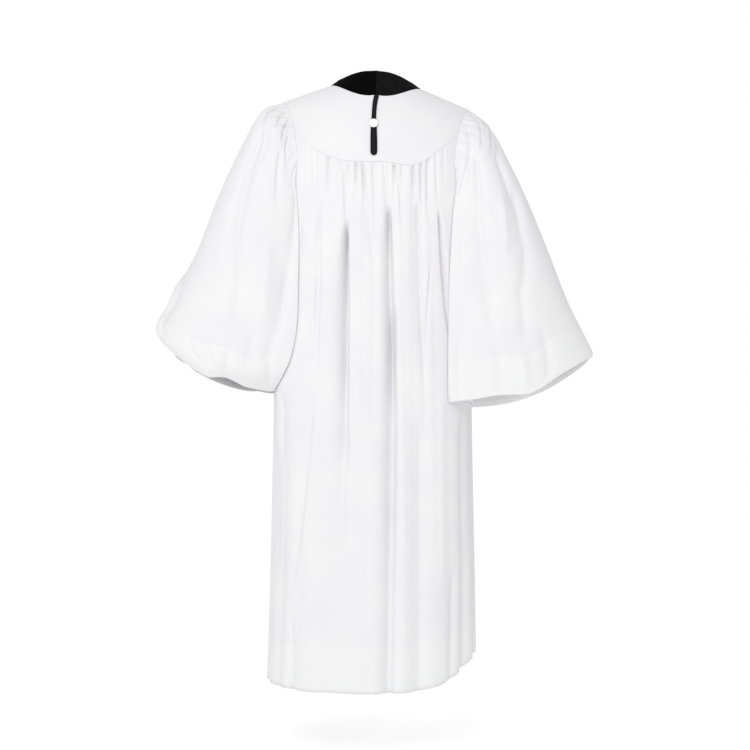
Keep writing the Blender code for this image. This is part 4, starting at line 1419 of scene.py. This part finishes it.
RIGHT_TROUGHS = (
    Trough(40, 112, 0.0, 1.5, 5, 2.4),
    Trough(13, 75, 0.1, 1.4, 8, 1.5),
    Trough(1, 60, 0.4, 1.2, 6, 1.6),
    Trough(11, 63, 0.6, 1.7, 8, 2.8),
    Trough(21, 47, 1.0, 1.8, 6, 6.5),
    Trough(74, 88, 0.5, 1.7, 5, 2.8),
    Trough(45, 51, 1.4, 3.1, 10, 6.0, 0.2),
    Trough(43, 56, 2.4, 4.1, 11, 6.7, 0.25),
    Trough(51, 65, 3.7, 4.8, 9, 5.0),
    Trough(62, 67, 4.3, 5.7, 7, 3.0),
    Trough(69, 82, 0.9, 3.1, 10, 5.5, 0.2),
    Trough(79, 80, 2.4, 4.4, 11, 4.7, 0.2),
    Trough(81, 79, 4.0, 5.3, 8, 3.3),
    Trough(58, 69, 2.3, 4.2, -6, 4.7),
    Trough(91, 93, 1.7, 4.6, -5, 5.8),
    Trough(78, 80, 5.2, 7.9, 5, 2.5),
    Trough(57, 61, 5.2, 7.7, 6, 3.0),
    Trough(97, 98, 4.8, 7.8, 5, 3.3),
    Trough(69, 70, 5.5, 7.6, -5, 2.0),
    Trough(-34, -50, 0.6, 6.5, 12, 12),
    Trough(-72, -76, 1.0, 8.0, 10, 10),
    Trough(-14, -18, 4.0, 9.0, 7, 8),
    Trough(-24, -32, 0.2, 3.2, 7, 4),
    Trough(-52, -58, 0.2, 3.0, 7, 4),
    Trough(-36, -44, 4.0, 7.2, -7, 5),
    Trough(-62, -66, 4.6, 8.0, 7, 4),
    Trough(-86, -88, 4.0, 8.0, 7, 5),
)
LEFT_WAVES = (
    Wave(-180, 0),
    Wave(-110, 0),
    Wave(-75, 4),
    Wave(-45, -4),
    Wave(0, 0),
    Wave(30, 2),
    Wave(50, 1),
    Wave(64, -1),
    Wave(68, 5),
    Wave(74, 12),
    Wave(79, 7),
    Wave(84, -1),
    Wave(90, -5),
    Wave(97, -10),
    Wave(104, -11),
    Wave(114, -3),
    Wave(180, 0),
)
RIGHT_WAVES = (
    Wave(-180, 0),
    Wave(-110, 0),
    Wave(-80, 6),
    Wave(-50, -3),
    Wave(0, 1),
    Wave(30, 5),
    Wave(54, 12),
    Wave(68, 2),
    Wave(80, 12),
    Wave(91, 4),
    Wave(100, -3),
    Wave(108, -8),
    Wave(118, 0),
    Wave(180, 0),
)


@dataclass
class BellSleeve:
    """A bell sleeve, gathered into its armhole, as rings of cloth from the cap to the hem."""

    node: str
    side: Side
    armhole: Armhole
    rings: tuple[Ring, ...]
    troughs: tuple[Trough, ...]
    waves: tuple[Wave, ...]
    cut: Cut
    columns: int = 360
    rows: int = 100
    squareness: float = 2.5
    clearance: float = 1.0 * MM
    corner_turn: float = 108.0
    lay_turn: float = 52.0
    lay: float = 1.1 * MM
    corner_spread: float = 13.0
    corner_blur: float = 2.6
    inner_run: float = 3.5
    gather_depth: float = 3.4 * MM
    gather_peak: float = 0.22
    gather_length: float = 1.5
    gather_step: float = 10.0
    gather_power: int = 4
    fade_in: float = 4.0
    fade_out: float = 2.4
    unevenness: float = 0.25
    uneven_step: float = 2.4
    ring_crowding: float = 1.15
    wave_start: float = 6.4
    least_share: float = 0.02
    gather_past: float = 4.0
    gather_blend: float = 8.0
    spread_back: float = 6.0
    spread_blend: float = 8.0
    upward: float = 0.4
    hem: float = SLEEVE_HEM

    def ring_points(self, ring: Ring, turn: np.ndarray) -> np.ndarray:
        """One ring: a rounded outer bow, and an inner run beside the body.

        Args:
            ring: its sizes.
            turn: turns in degrees, from -180 to 180.

        Returns:
            The ring's points.
        """
        facing = np.where(turn >= 0, 1, -1)
        depth = np.where(turn >= 0, ring.back, ring.front)
        drop = np.where(turn >= 0, 0.0, ring.drop)
        bow = math.pi / 2 * ease(np.abs(turn) / self.corner_turn)
        laid = self.laid_depth(ring, facing)
        nearer = ease((np.abs(turn) - self.lay_turn) / (self.corner_turn - self.lay_turn))
        out = np.clip(np.cos(bow), 0, 1) ** (2 / self.squareness)
        deep = np.sin(bow) ** (2 / self.squareness)
        x = mix(ring.corner_x, ring.outer_x, out)
        z = mix(ring.corner_z, ring.outer_z, out) - ring.sag * np.sin(math.pi * out) - drop * deep
        outer = np.stack([self.side.value * x, facing * mix(depth * deep, laid, nearer), z], axis=-1)
        share = np.clip((np.abs(turn) - self.corner_turn) / (180 - self.corner_turn), 0, 1)
        z = mix(ring.corner_z - drop, ring.inner_z, ease(share))
        angle = mix(np.arctan2(ring.corner_x, laid), math.pi / 2, share)
        angle = np.where(facing > 0, angle, math.pi - angle)
        inner = self.armhole.figure.point(self.side.value * angle, z, self.clearance)
        reach = np.hypot(inner[..., 0], inner[..., 1])
        wider = mix(np.hypot(ring.corner_x, laid), reach, ease(share * self.inner_run)) / reach
        inner[..., :2] *= wider[..., None]
        return np.where((np.abs(turn) <= self.corner_turn)[..., None], outer, inner)

    def laid_depth(self, ring: Ring, facing: np.ndarray) -> np.ndarray:
        """How deep a ring lies at its corner, where it rests on the body.

        Args:
            ring: its sizes.
            facing: 1 behind and -1 in front.

        Returns:
            Depths from the sleeve's middle, in metres.
        """
        power = self.armhole.figure.power
        half, back, front, shift = self.armhole.figure.section(np.float64(ring.corner_z))
        across = np.abs(self.side.value * ring.corner_x - shift) / half
        depth = np.where(facing > 0, back, front)
        return depth * np.clip(1 - across**power, self.least_share, 1) ** (1 / power) + self.lay

    def relief(self, turn: np.ndarray, station: np.ndarray) -> np.ndarray:
        """Depth of gathers and troughs.

        Args:
            turn: turns in degrees, from -180 to 180.
            station: stations down the sleeve, as a column.

        Returns:
            Depths in metres.
        """
        number = np.round((np.mod(turn, 360) - self.gather_step / 2) / self.gather_step)
        column = 2 * number + 1
        centre = self.gather_step * (number + 0.5)
        near = np.cos(math.pi * (np.mod(turn, 360) - centre) / self.gather_step) ** self.gather_power
        uneven = 1 - self.unevenness * (1 - np.sin(column * self.uneven_step))
        fall = 1 - ease((station - self.gather_peak) / (self.gather_length - self.gather_peak))
        within = np.clip((self.corner_turn + self.gather_past - np.abs(turn)) / self.gather_blend, 0, 1)
        depth = self.gather_depth * uneven * near * ease(station / self.gather_peak) * fall * within
        for trough in self.troughs:
            share = (station - trough.first) / (trough.last - trough.first)
            centre = mix(trough.turn_first, trough.turn_last, np.clip(share, 0, 1))
            fade = ease(share * self.fade_in) * ease((1 - share) * self.fade_out)
            depth = depth + trough.deep * MM * fade * fold(turn - centre, trough.width, trough.lean)
        return depth

    def rounded(self, points: np.ndarray, turn: np.ndarray) -> np.ndarray:
        """The rings with the two folds beside the body rounded.

        Args:
            points: the rings.
            turn: turns in degrees, from -180 to 180.

        Returns:
            The rounded rings.
        """
        past = np.abs(np.abs(turn) - self.corner_turn) - self.corner_spread
        near = 1 - ease((past + self.spread_back) / self.spread_blend)
        # A pass blurs by half a column, squared
        passes = round(2 * (self.corner_blur * self.columns / 360) ** 2)
        soft = points
        for _ in range(passes):
            blurred = (np.roll(soft, 1, axis=1) + 2 * soft + np.roll(soft, -1, axis=1)) / 4
            soft = mix(soft, blurred, near[None, :, None])
        soft[0] = points[0]
        return soft

    def clear_of_body(self, points: np.ndarray, station: np.ndarray) -> np.ndarray:
        """The points, moved out until they clear the body panels.

        Args:
            points: the sleeve's points.
            station: stations down the sleeve, as a column.

        Returns:
            The points.
        """
        figure = self.armhole.figure
        z = points[..., 2]
        shift = figure.section(z)[3]
        x, y = points[..., 0] - shift, points[..., 1]
        limit = figure.point(np.arctan2(x, y), z, self.clearance * ease(station))
        shortest = np.hypot(limit[..., 0] - shift, limit[..., 1])
        reach = np.hypot(x, y)
        grow = np.where((z > figure.arch_low) | (reach >= shortest), 1.0, shortest / reach)
        return np.stack([x * grow + shift, y * grow, z], axis=-1)

    def grid(self) -> np.ndarray:
        """The sleeve's points.

        Returns:
            A grid of points, closed along its rows.
        """
        full = np.arange(self.columns) * 360 / self.columns
        turn = np.where(full > 180, full - 360, full)
        lines = [self.armhole.point(self.side.value, full * self.armhole.nodes / 360)]
        lines += [self.ring_points(ring, turn) for ring in self.rings]
        table = SmoothTable(range(len(lines)), np.array(lines))
        station = len(self.rings) * np.linspace(0, 1, self.rows + 1) ** self.ring_crowding
        points = self.rounded(table.at(station), turn)
        column = station[:, None]
        lift = SmoothTable.of(self.waves).at(turn)[:, 0] * MM
        points[..., 2] += lift * ease((column - self.wave_start) / (len(self.rings) - self.wave_start))
        points = points - self.shell(points).normals() * self.relief(turn[None], column)[..., None]
        return self.clear_of_body(points, column)

    def shell(self, points: np.ndarray) -> Cloth:
        """A shell on the sleeve's points.

        Args:
            points: a grid of points, closed along its rows.

        Returns:
            The shell.
        """
        outward = Vector((self.side.value, 0, self.upward))
        return Cloth(self.node, Slot.CREPE, points, outward, self.cut, closed=True, seams=(Edge.TOP,),
                     hem=self.hem)

    def cloth(self) -> Cloth:
        """The sleeve as a shell, rolled under at the armhole."""
        return self.shell(self.grid())


# Neckband, strap and button


NECKBAND = (
    Band(0.00, 0.0240, 0.0592),
    Band(0.05, 0.0236, 0.0600),
    Band(0.10, 0.0226, 0.0565),
    Band(0.15, 0.0210, 0.0479),
    Band(0.20, 0.0195, 0.0371),
    Band(0.25, 0.0182, 0.0263),
    Band(0.30, 0.0174, 0.0182),
    Band(0.36, 0.0174, 0.0136),
    Band(0.45, 0.0195, 0.0120),
    Band(0.60, 0.0160, 0.0145),
    Band(0.80, 0.0106, 0.0265),
    Band(1.00, 0.0050, 0.0400),
)
STRAP_LINE = (
    Strap(0.033, -0.0015, 0.0105),
    Strap(0.060, 0.0030, 0.0100),
    Strap(0.090, 0.0048, 0.0100),
    Strap(0.115, 0.0050, 0.0135),
    Strap(0.145, 0.0048, 0.0150),
    Strap(0.175, 0.0050, 0.0150),
)


@dataclass
class HalfNeckband:
    """Half of the velvet band that stands round the neck and lies along the V."""

    node: str
    side: Side
    figure: Figure
    neck: NeckLine
    cut: Cut
    back_columns: int = 60
    front_columns: int = 84
    rows: int = 12
    shoulder_share: float = 0.45
    seam_gap: float = 0.3 * MM
    centre_gap: float = 0.16 * MM
    thickness: float = 2.4 * MM
    bevel: float = 0.7 * MM
    upward: float = 0.6

    def edge(self) -> tuple[np.ndarray, np.ndarray]:
        """The neck seam from the centre back to the point of the V.

        Returns:
            Each point, and its share of the way.
        """
        sign = self.side.value
        back = self.neck.back(np.linspace(0, math.pi / 2, self.back_columns, endpoint=False))
        share = np.linspace(0, 1, self.front_columns + 1)
        front = self.neck.front(sign, share)
        points = np.concatenate([self.figure.arch(sign * back[:, 0], back[:, 1]),
                                 self.figure.arch(front[:, 0], np.minimum(front[:, 1], JUST_FRONT))])
        shares = np.concatenate([self.shoulder_share * np.arange(self.back_columns) / self.back_columns,
                                 mix(self.shoulder_share, 1.0, share)])
        return points, shares

    def grid(self) -> np.ndarray:
        """The band's points, straight across from the neck seam to its inner edge.

        Returns:
            A grid of points, a line for each row.
        """
        points, shares = self.edge()
        sizes = SmoothTable.of(NECKBAND).at(shares)
        inward = unit(-points * (1, 1, 0))
        across = inward * sizes[:, :1] + np.stack([0 * shares, 0 * shares, sizes[:, 1]], axis=-1)
        start = points + unit(across) * self.seam_gap
        down = np.linspace(0, 1, self.rows + 1)[:, None, None]
        made = mix(start[None], (points + across)[None], down)
        made[:, 0, 0] += self.side.value * self.centre_gap
        made[:, -1, 0] += self.side.value * self.centre_gap
        return made

    def cloth(self) -> Cloth:
        """The band as a shell of velvet with soft edges.

        Returns:
            The shell.
        """
        outward = Vector((self.side.value, 0, self.upward))
        return Cloth(self.node, Slot.VELVET, self.grid(), outward, self.cut, thickness=self.thickness,
                     bevel=self.bevel)


@dataclass(frozen=True)
class BackPlace:
    """Places on the back yoke by their x and their drop below the origin."""

    figure: Figure

    def point(self, x: np.ndarray, drop: np.ndarray) -> tuple[np.ndarray, np.ndarray]:
        """Points of the yoke and the directions out of it.

        Args:
            x: distances to the wearer's left.
            drop: drops below the origin.

        Returns:
            Points and directions.
        """
        low = self.figure.arch_low
        rise = (-drop - low) / (self.figure.ridge_z(x) - low)
        points = self.figure.arch(x, np.arccos(rise))
        return points, self.figure.normal(points)


@dataclass
class HoodStrap:
    """The flat braid strap from the neck seam down the yoke, which holds a hood in place."""

    node: str
    place: BackPlace
    cut: Cut
    rows: int = 90
    columns: int = 14
    top: float = 0.0350
    end: float = 0.1745
    end_half: float = 1.2 * MM
    crowding: float = 1.6
    seam_gap: float = 0.3 * MM
    thickness: float = 2.2 * MM
    crown: float = 0.8 * MM
    bevel: float = 0.5 * MM

    def grid(self) -> np.ndarray:
        """The strap's upper face.

        Returns:
            A grid of points, a line for each row.
        """
        share = np.linspace(0, 1, self.rows + 1)
        drop = mix(self.top, self.end, 1 - (1 - share) ** self.crowding)
        middle, width = np.moveaxis(SmoothTable.of(STRAP_LINE).at(drop), -1, 0)
        radius = width / 2
        past = np.clip(1 - (self.end - drop) / radius, 0, None)
        half = np.maximum(radius * np.sqrt(np.clip(1 - past**2, 0, None)), self.end_half)
        across = np.linspace(-1, 1, self.columns + 1)[None, :]
        x = middle[:, None] + across * half[:, None]
        points, out = self.place.point(x, np.broadcast_to(drop[:, None], x.shape))
        lift = self.seam_gap + self.thickness + self.crown * (1 - across**2) * np.ones_like(x)
        return points + out * lift[..., None]

    def cloth(self) -> Cloth:
        """The strap as a shell of braid."""
        return Cloth(self.node, Slot.BRAID, self.grid(), Vector((0, 1, 0)), self.cut,
                     thickness=self.thickness, bevel=self.bevel)


@dataclass
class HoodButton:
    """The plain domed button on the strap."""

    node: str
    place: BackPlace
    drop: float = 0.103
    radius: float = 10.0 * MM
    edge: float = 2.6 * MM
    lift: float = 3.6 * MM
    rim_width: float = 1.8 * MM
    rim_rise: float = 0.8 * MM
    dome_width: float = 3.2 * MM
    dome_rise: float = 0.6 * MM
    crown_width: float = 3.4 * MM
    crown_rise: float = 0.2 * MM
    edge_round: float = 0.7 * MM
    facets: int = 72
    round_segments: int = 4
    round_profile: float = 0.5
    facing_up: float = 0.9
    on_edge: float = 0.01 * MM
    smooth_below: float = math.radians(40)

    def build(self, material: bpy.types.Material) -> bpy.types.Object:
        """Turns the button from a disc: its dome inset in three steps and its edge rounded.

        Args:
            material: its finish.

        Returns:
            The piece, riding on the body and standing for its node.
        """
        bpy.ops.object.select_all(action="DESELECT")
        bpy.ops.mesh.primitive_cylinder_add(vertices=self.facets, radius=self.radius, depth=self.edge)
        button = bpy.context.active_object
        bpy.ops.object.mode_set(mode="EDIT")
        bpy.ops.mesh.select_mode(type="FACE")
        bpy.ops.mesh.select_all(action="DESELECT")
        bpy.ops.object.mode_set(mode="OBJECT")
        for face in button.data.polygons:
            face.select = face.normal.z > self.facing_up
        bpy.ops.object.mode_set(mode="EDIT")
        rim, dome = (self.rim_width, self.rim_rise), (self.dome_width, self.dome_rise)
        for width, rise in (rim, dome, (self.crown_width, self.crown_rise)):
            bpy.ops.mesh.inset(thickness=width, depth=rise)
        bpy.ops.mesh.select_all(action="DESELECT")
        bpy.ops.mesh.select_mode(type="EDGE")
        bpy.ops.object.mode_set(mode="OBJECT")
        points = button.data.vertices
        for line in button.data.edges:
            ends = [points[i].co for i in line.vertices]
            outer = all(math.hypot(p.x, p.y) > self.radius - self.on_edge for p in ends)
            line.select = outer and ends[0].z == ends[1].z
        bpy.ops.object.mode_set(mode="EDIT")
        bpy.ops.mesh.bevel(offset=self.edge_round, segments=self.round_segments, profile=self.round_profile,
                           affect="EDGES")
        bpy.ops.object.mode_set(mode="OBJECT")
        bpy.ops.object.shade_smooth_by_angle(angle=self.smooth_below)
        return self.seat(button, material)

    def seat(self, button: bpy.types.Object, material: bpy.types.Material) -> bpy.types.Object:
        """Seats the button on the strap, with its place in its mesh.

        Args:
            button: the shaped button.
            material: its finish.

        Returns:
            The piece.
        """
        middle = SmoothTable.of(STRAP_LINE).at(self.drop)[0]
        point, out = self.place.point(np.array(middle), np.array(self.drop))
        turned = Vector(out).to_track_quat("Z", "Y").to_matrix().to_4x4()
        button.matrix_world = Matrix.Translation(Vector(point + out * (self.lift + self.edge / 2))) @ turned
        bpy.ops.object.transform_apply(location=True, rotation=True, scale=True)
        button.name = button.data.name = self.node + "_turned"
        button.data.materials.append(material)
        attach(button, "root")
        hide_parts(self.node)
        LOG.info("%s: %d faces", button.name, len(button.data.polygons))
        button.select_set(False)
        return button


# Studio


@dataclass
class Studio:
    """A pale floor, soft even light and a camera behind the robe, level with its middle."""

    camera_y: float = 3.35
    camera_z: float = -0.66
    image_pixels: float = 750.0
    focal_pixels: float = 1456.5
    sensor_mm: float = 36.0
    shift_pixels: float = -1.0
    floor_z: float = -1.50
    floor_size: float = 60.0
    surround: float = 0.63
    key_watts: float = 165.0
    key_place: tuple[float, float, float] = (1.5, 5.3, 3.4)
    key_size: float = 2.4
    aim: tuple[float, float, float] = (0.0, 0.0, -0.45)

    def camera(self) -> None:
        """Sets the photograph's camera."""
        data = bpy.data.cameras.new("camera")
        data.sensor_width = self.sensor_mm
        data.lens = self.focal_pixels / self.image_pixels * self.sensor_mm
        data.shift_x = self.shift_pixels / self.image_pixels
        eye = bpy.data.objects.new("camera", data)
        eye.location = (0.0, self.camera_y, self.camera_z)
        eye.rotation_euler = (math.pi / 2, 0.0, math.pi)
        bpy.context.scene.collection.objects.link(eye)
        bpy.context.scene.camera = eye

    def floor(self) -> None:
        """Lays the floor."""
        half = self.floor_size / 2
        corners = [(-half, -half), (half, -half), (half, half), (-half, half)]
        mesh = bpy.data.meshes.new("floor")
        mesh.from_pydata([(x, y, self.floor_z) for x, y in corners], [], [(0, 1, 2, 3)])
        floor = bpy.data.objects.new("floor", mesh)
        floor.data.materials.append(RolledFloorPaint().make())
        bpy.context.scene.collection.objects.link(floor)

    def light(self) -> None:
        """Sets a white surround, and one large soft light above and behind the camera, to its left."""
        world = bpy.data.worlds.new("surround")
        world.use_nodes = True
        tree = world.node_tree
        seen = add_node(tree, "ShaderNodeLightPath", {}, {}, "Is Camera Ray")
        level = add_node(tree, "ShaderNodeMapRange", {"To Min": self.surround, "To Max": 1.0}, {0: seen})
        backdrop = tree.nodes["Background"]
        backdrop.inputs["Color"].default_value = linear("#FFFFFF")
        tree.links.new(level, backdrop.inputs["Strength"])
        bpy.context.scene.world = world
        data = bpy.data.lights.new("key", "AREA")
        data.energy = self.key_watts
        data.size = self.key_size
        key = bpy.data.objects.new("key", data)
        key.location = self.key_place
        ray = Vector(self.aim) - Vector(self.key_place)
        key.rotation_euler = ray.to_track_quat("-Z", "Y").to_euler()
        bpy.context.scene.collection.objects.link(key)
        bpy.context.scene.view_settings.view_transform = "Standard"

    def build(self) -> None:
        """Makes the camera, the floor and the light."""
        self.camera()
        self.floor()
        self.light()
        LOG.info("studio: camera, floor and light")


# Robe


def build_body(figure: Figure, armhole: Armhole, neck: NeckLine) -> None:
    """Builds the yokes and the fluted panels.

    Args:
        figure: the figure that they hang on; not used, as the armhole carries it.
        armhole: the armholes' curve.
        neck: the neck seam.
    """
    yoke_crepe = WovenPolyesterCrepe("yoke_crepe").make()
    body_crepe = WovenPolyesterCrepe("body_crepe", hem=BODY_HEM).make()
    back = FlutedPanel(
        "back_panel", armhole, Facing.BACK, (1, -1), BACK_FLUTES, BACK_CREASES, BACK_SEAM_Z,
        Cut(width=0.72, length=1.30, area=0.88, held=Held.GATHERED, rests_on=("back_yoke",)),
    )
    left = FlutedPanel(
        "front_left", armhole, Facing.FRONT, (1, 0), FRONT_LEFT_FLUTES, FRONT_LEFT_CREASES, FRONT_SEAM_Z,
        Cut(width=0.36, length=1.31, area=0.43, held=Held.GATHERED, rests_on=("front_yoke_left",)),
        steps=FRONT_STEPS,
    )
    right = FlutedPanel(
        "front_right", armhole, Facing.FRONT, (0, -1), FRONT_RIGHT_FLUTES, FRONT_RIGHT_CREASES, FRONT_SEAM_Z,
        Cut(width=0.36, length=1.31, area=0.43, held=Held.GATHERED, rests_on=("front_yoke_right",)),
        steps=FRONT_STEPS,
    )
    front_cut = Cut(width=0.23, length=0.22, area=0.028, held=Held.LAID)
    for yoke in (
        Yoke("back_yoke", back, neck, Cut(width=0.46, length=0.24, area=0.080, held=Held.LAID)),
        Yoke("front_yoke_left", left, neck, front_cut, Side.LEFT),
        Yoke("front_yoke_right", right, neck, front_cut, Side.RIGHT),
    ):
        yoke.cloth().build(yoke_crepe)
    for panel in (back, left, right):
        panel.cloth().build(body_crepe)


def build_sleeves(armhole: Armhole) -> None:
    """Builds the two bell sleeves.

    Args:
        armhole: the armholes' curve.
    """
    crepe = WovenPolyesterCrepe("sleeve_crepe", hem=SLEEVE_HEM).make()
    left_cut = Cut(width=0.98, length=0.80, area=0.60, held=Held.GATHERED,
                   rests_on=("back_yoke", "front_yoke_left"))
    right_cut = Cut(width=1.00, length=0.82, area=0.63, held=Held.GATHERED,
                    rests_on=("back_yoke", "front_yoke_right"))
    for sleeve in (
        BellSleeve("sleeve_left", Side.LEFT, armhole, LEFT_RINGS, LEFT_TROUGHS, LEFT_WAVES, left_cut),
        BellSleeve("sleeve_right", Side.RIGHT, armhole, RIGHT_RINGS, RIGHT_TROUGHS, RIGHT_WAVES, right_cut),
    ):
        sleeve.cloth().build(crepe)


def build_trim(figure: Figure, neck: NeckLine) -> None:
    """Builds the neckband, the strap and the button.

    Args:
        figure: the figure that they lie on.
        neck: the neck seam.
    """
    place = BackPlace(figure)
    # A darker and a paler copy of one velvet: painted shade on the left half, painted sheen on the right half
    dark = CutCottonVelvet("cut_velvet_painted_shade", "#030303", "#070708").make()
    light = CutCottonVelvet("cut_velvet_painted_sheen", "#111112", "#171718").make()
    left_cut = Cut(width=0.36, length=0.070, area=0.0125, held=Held.LAID,
                   rests_on=("back_yoke", "front_yoke_left"))
    right_cut = Cut(width=0.36, length=0.070, area=0.0125, held=Held.LAID,
                    rests_on=("back_yoke", "front_yoke_right"))
    HalfNeckband("neckband_left", Side.LEFT, figure, neck, left_cut).cloth().build(dark)
    HalfNeckband("neckband_right", Side.RIGHT, figure, neck, right_cut).cloth().build(light)
    strap_cut = Cut(width=0.016, length=0.150, area=0.0019, held=Held.HUNG, rests_on=("back_yoke",))
    HoodStrap("hood_strap", place, strap_cut).cloth().build(WovenViscoseBraid().make())
    HoodButton("hood_button", place).build(TumbledPolyesterResin().make())


def main() -> None:
    """Builds the studio and the robe, part by part."""
    logging.basicConfig(level=logging.INFO, format="%(name)s: %(message)s")
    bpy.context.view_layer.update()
    Studio().build()
    figure = Figure()
    armhole = Armhole(figure)
    neck = NeckLine()
    build_body(figure, armhole, neck)
    build_sleeves(armhole)
    build_trim(figure, neck)


if __name__ == "__main__":
    main()
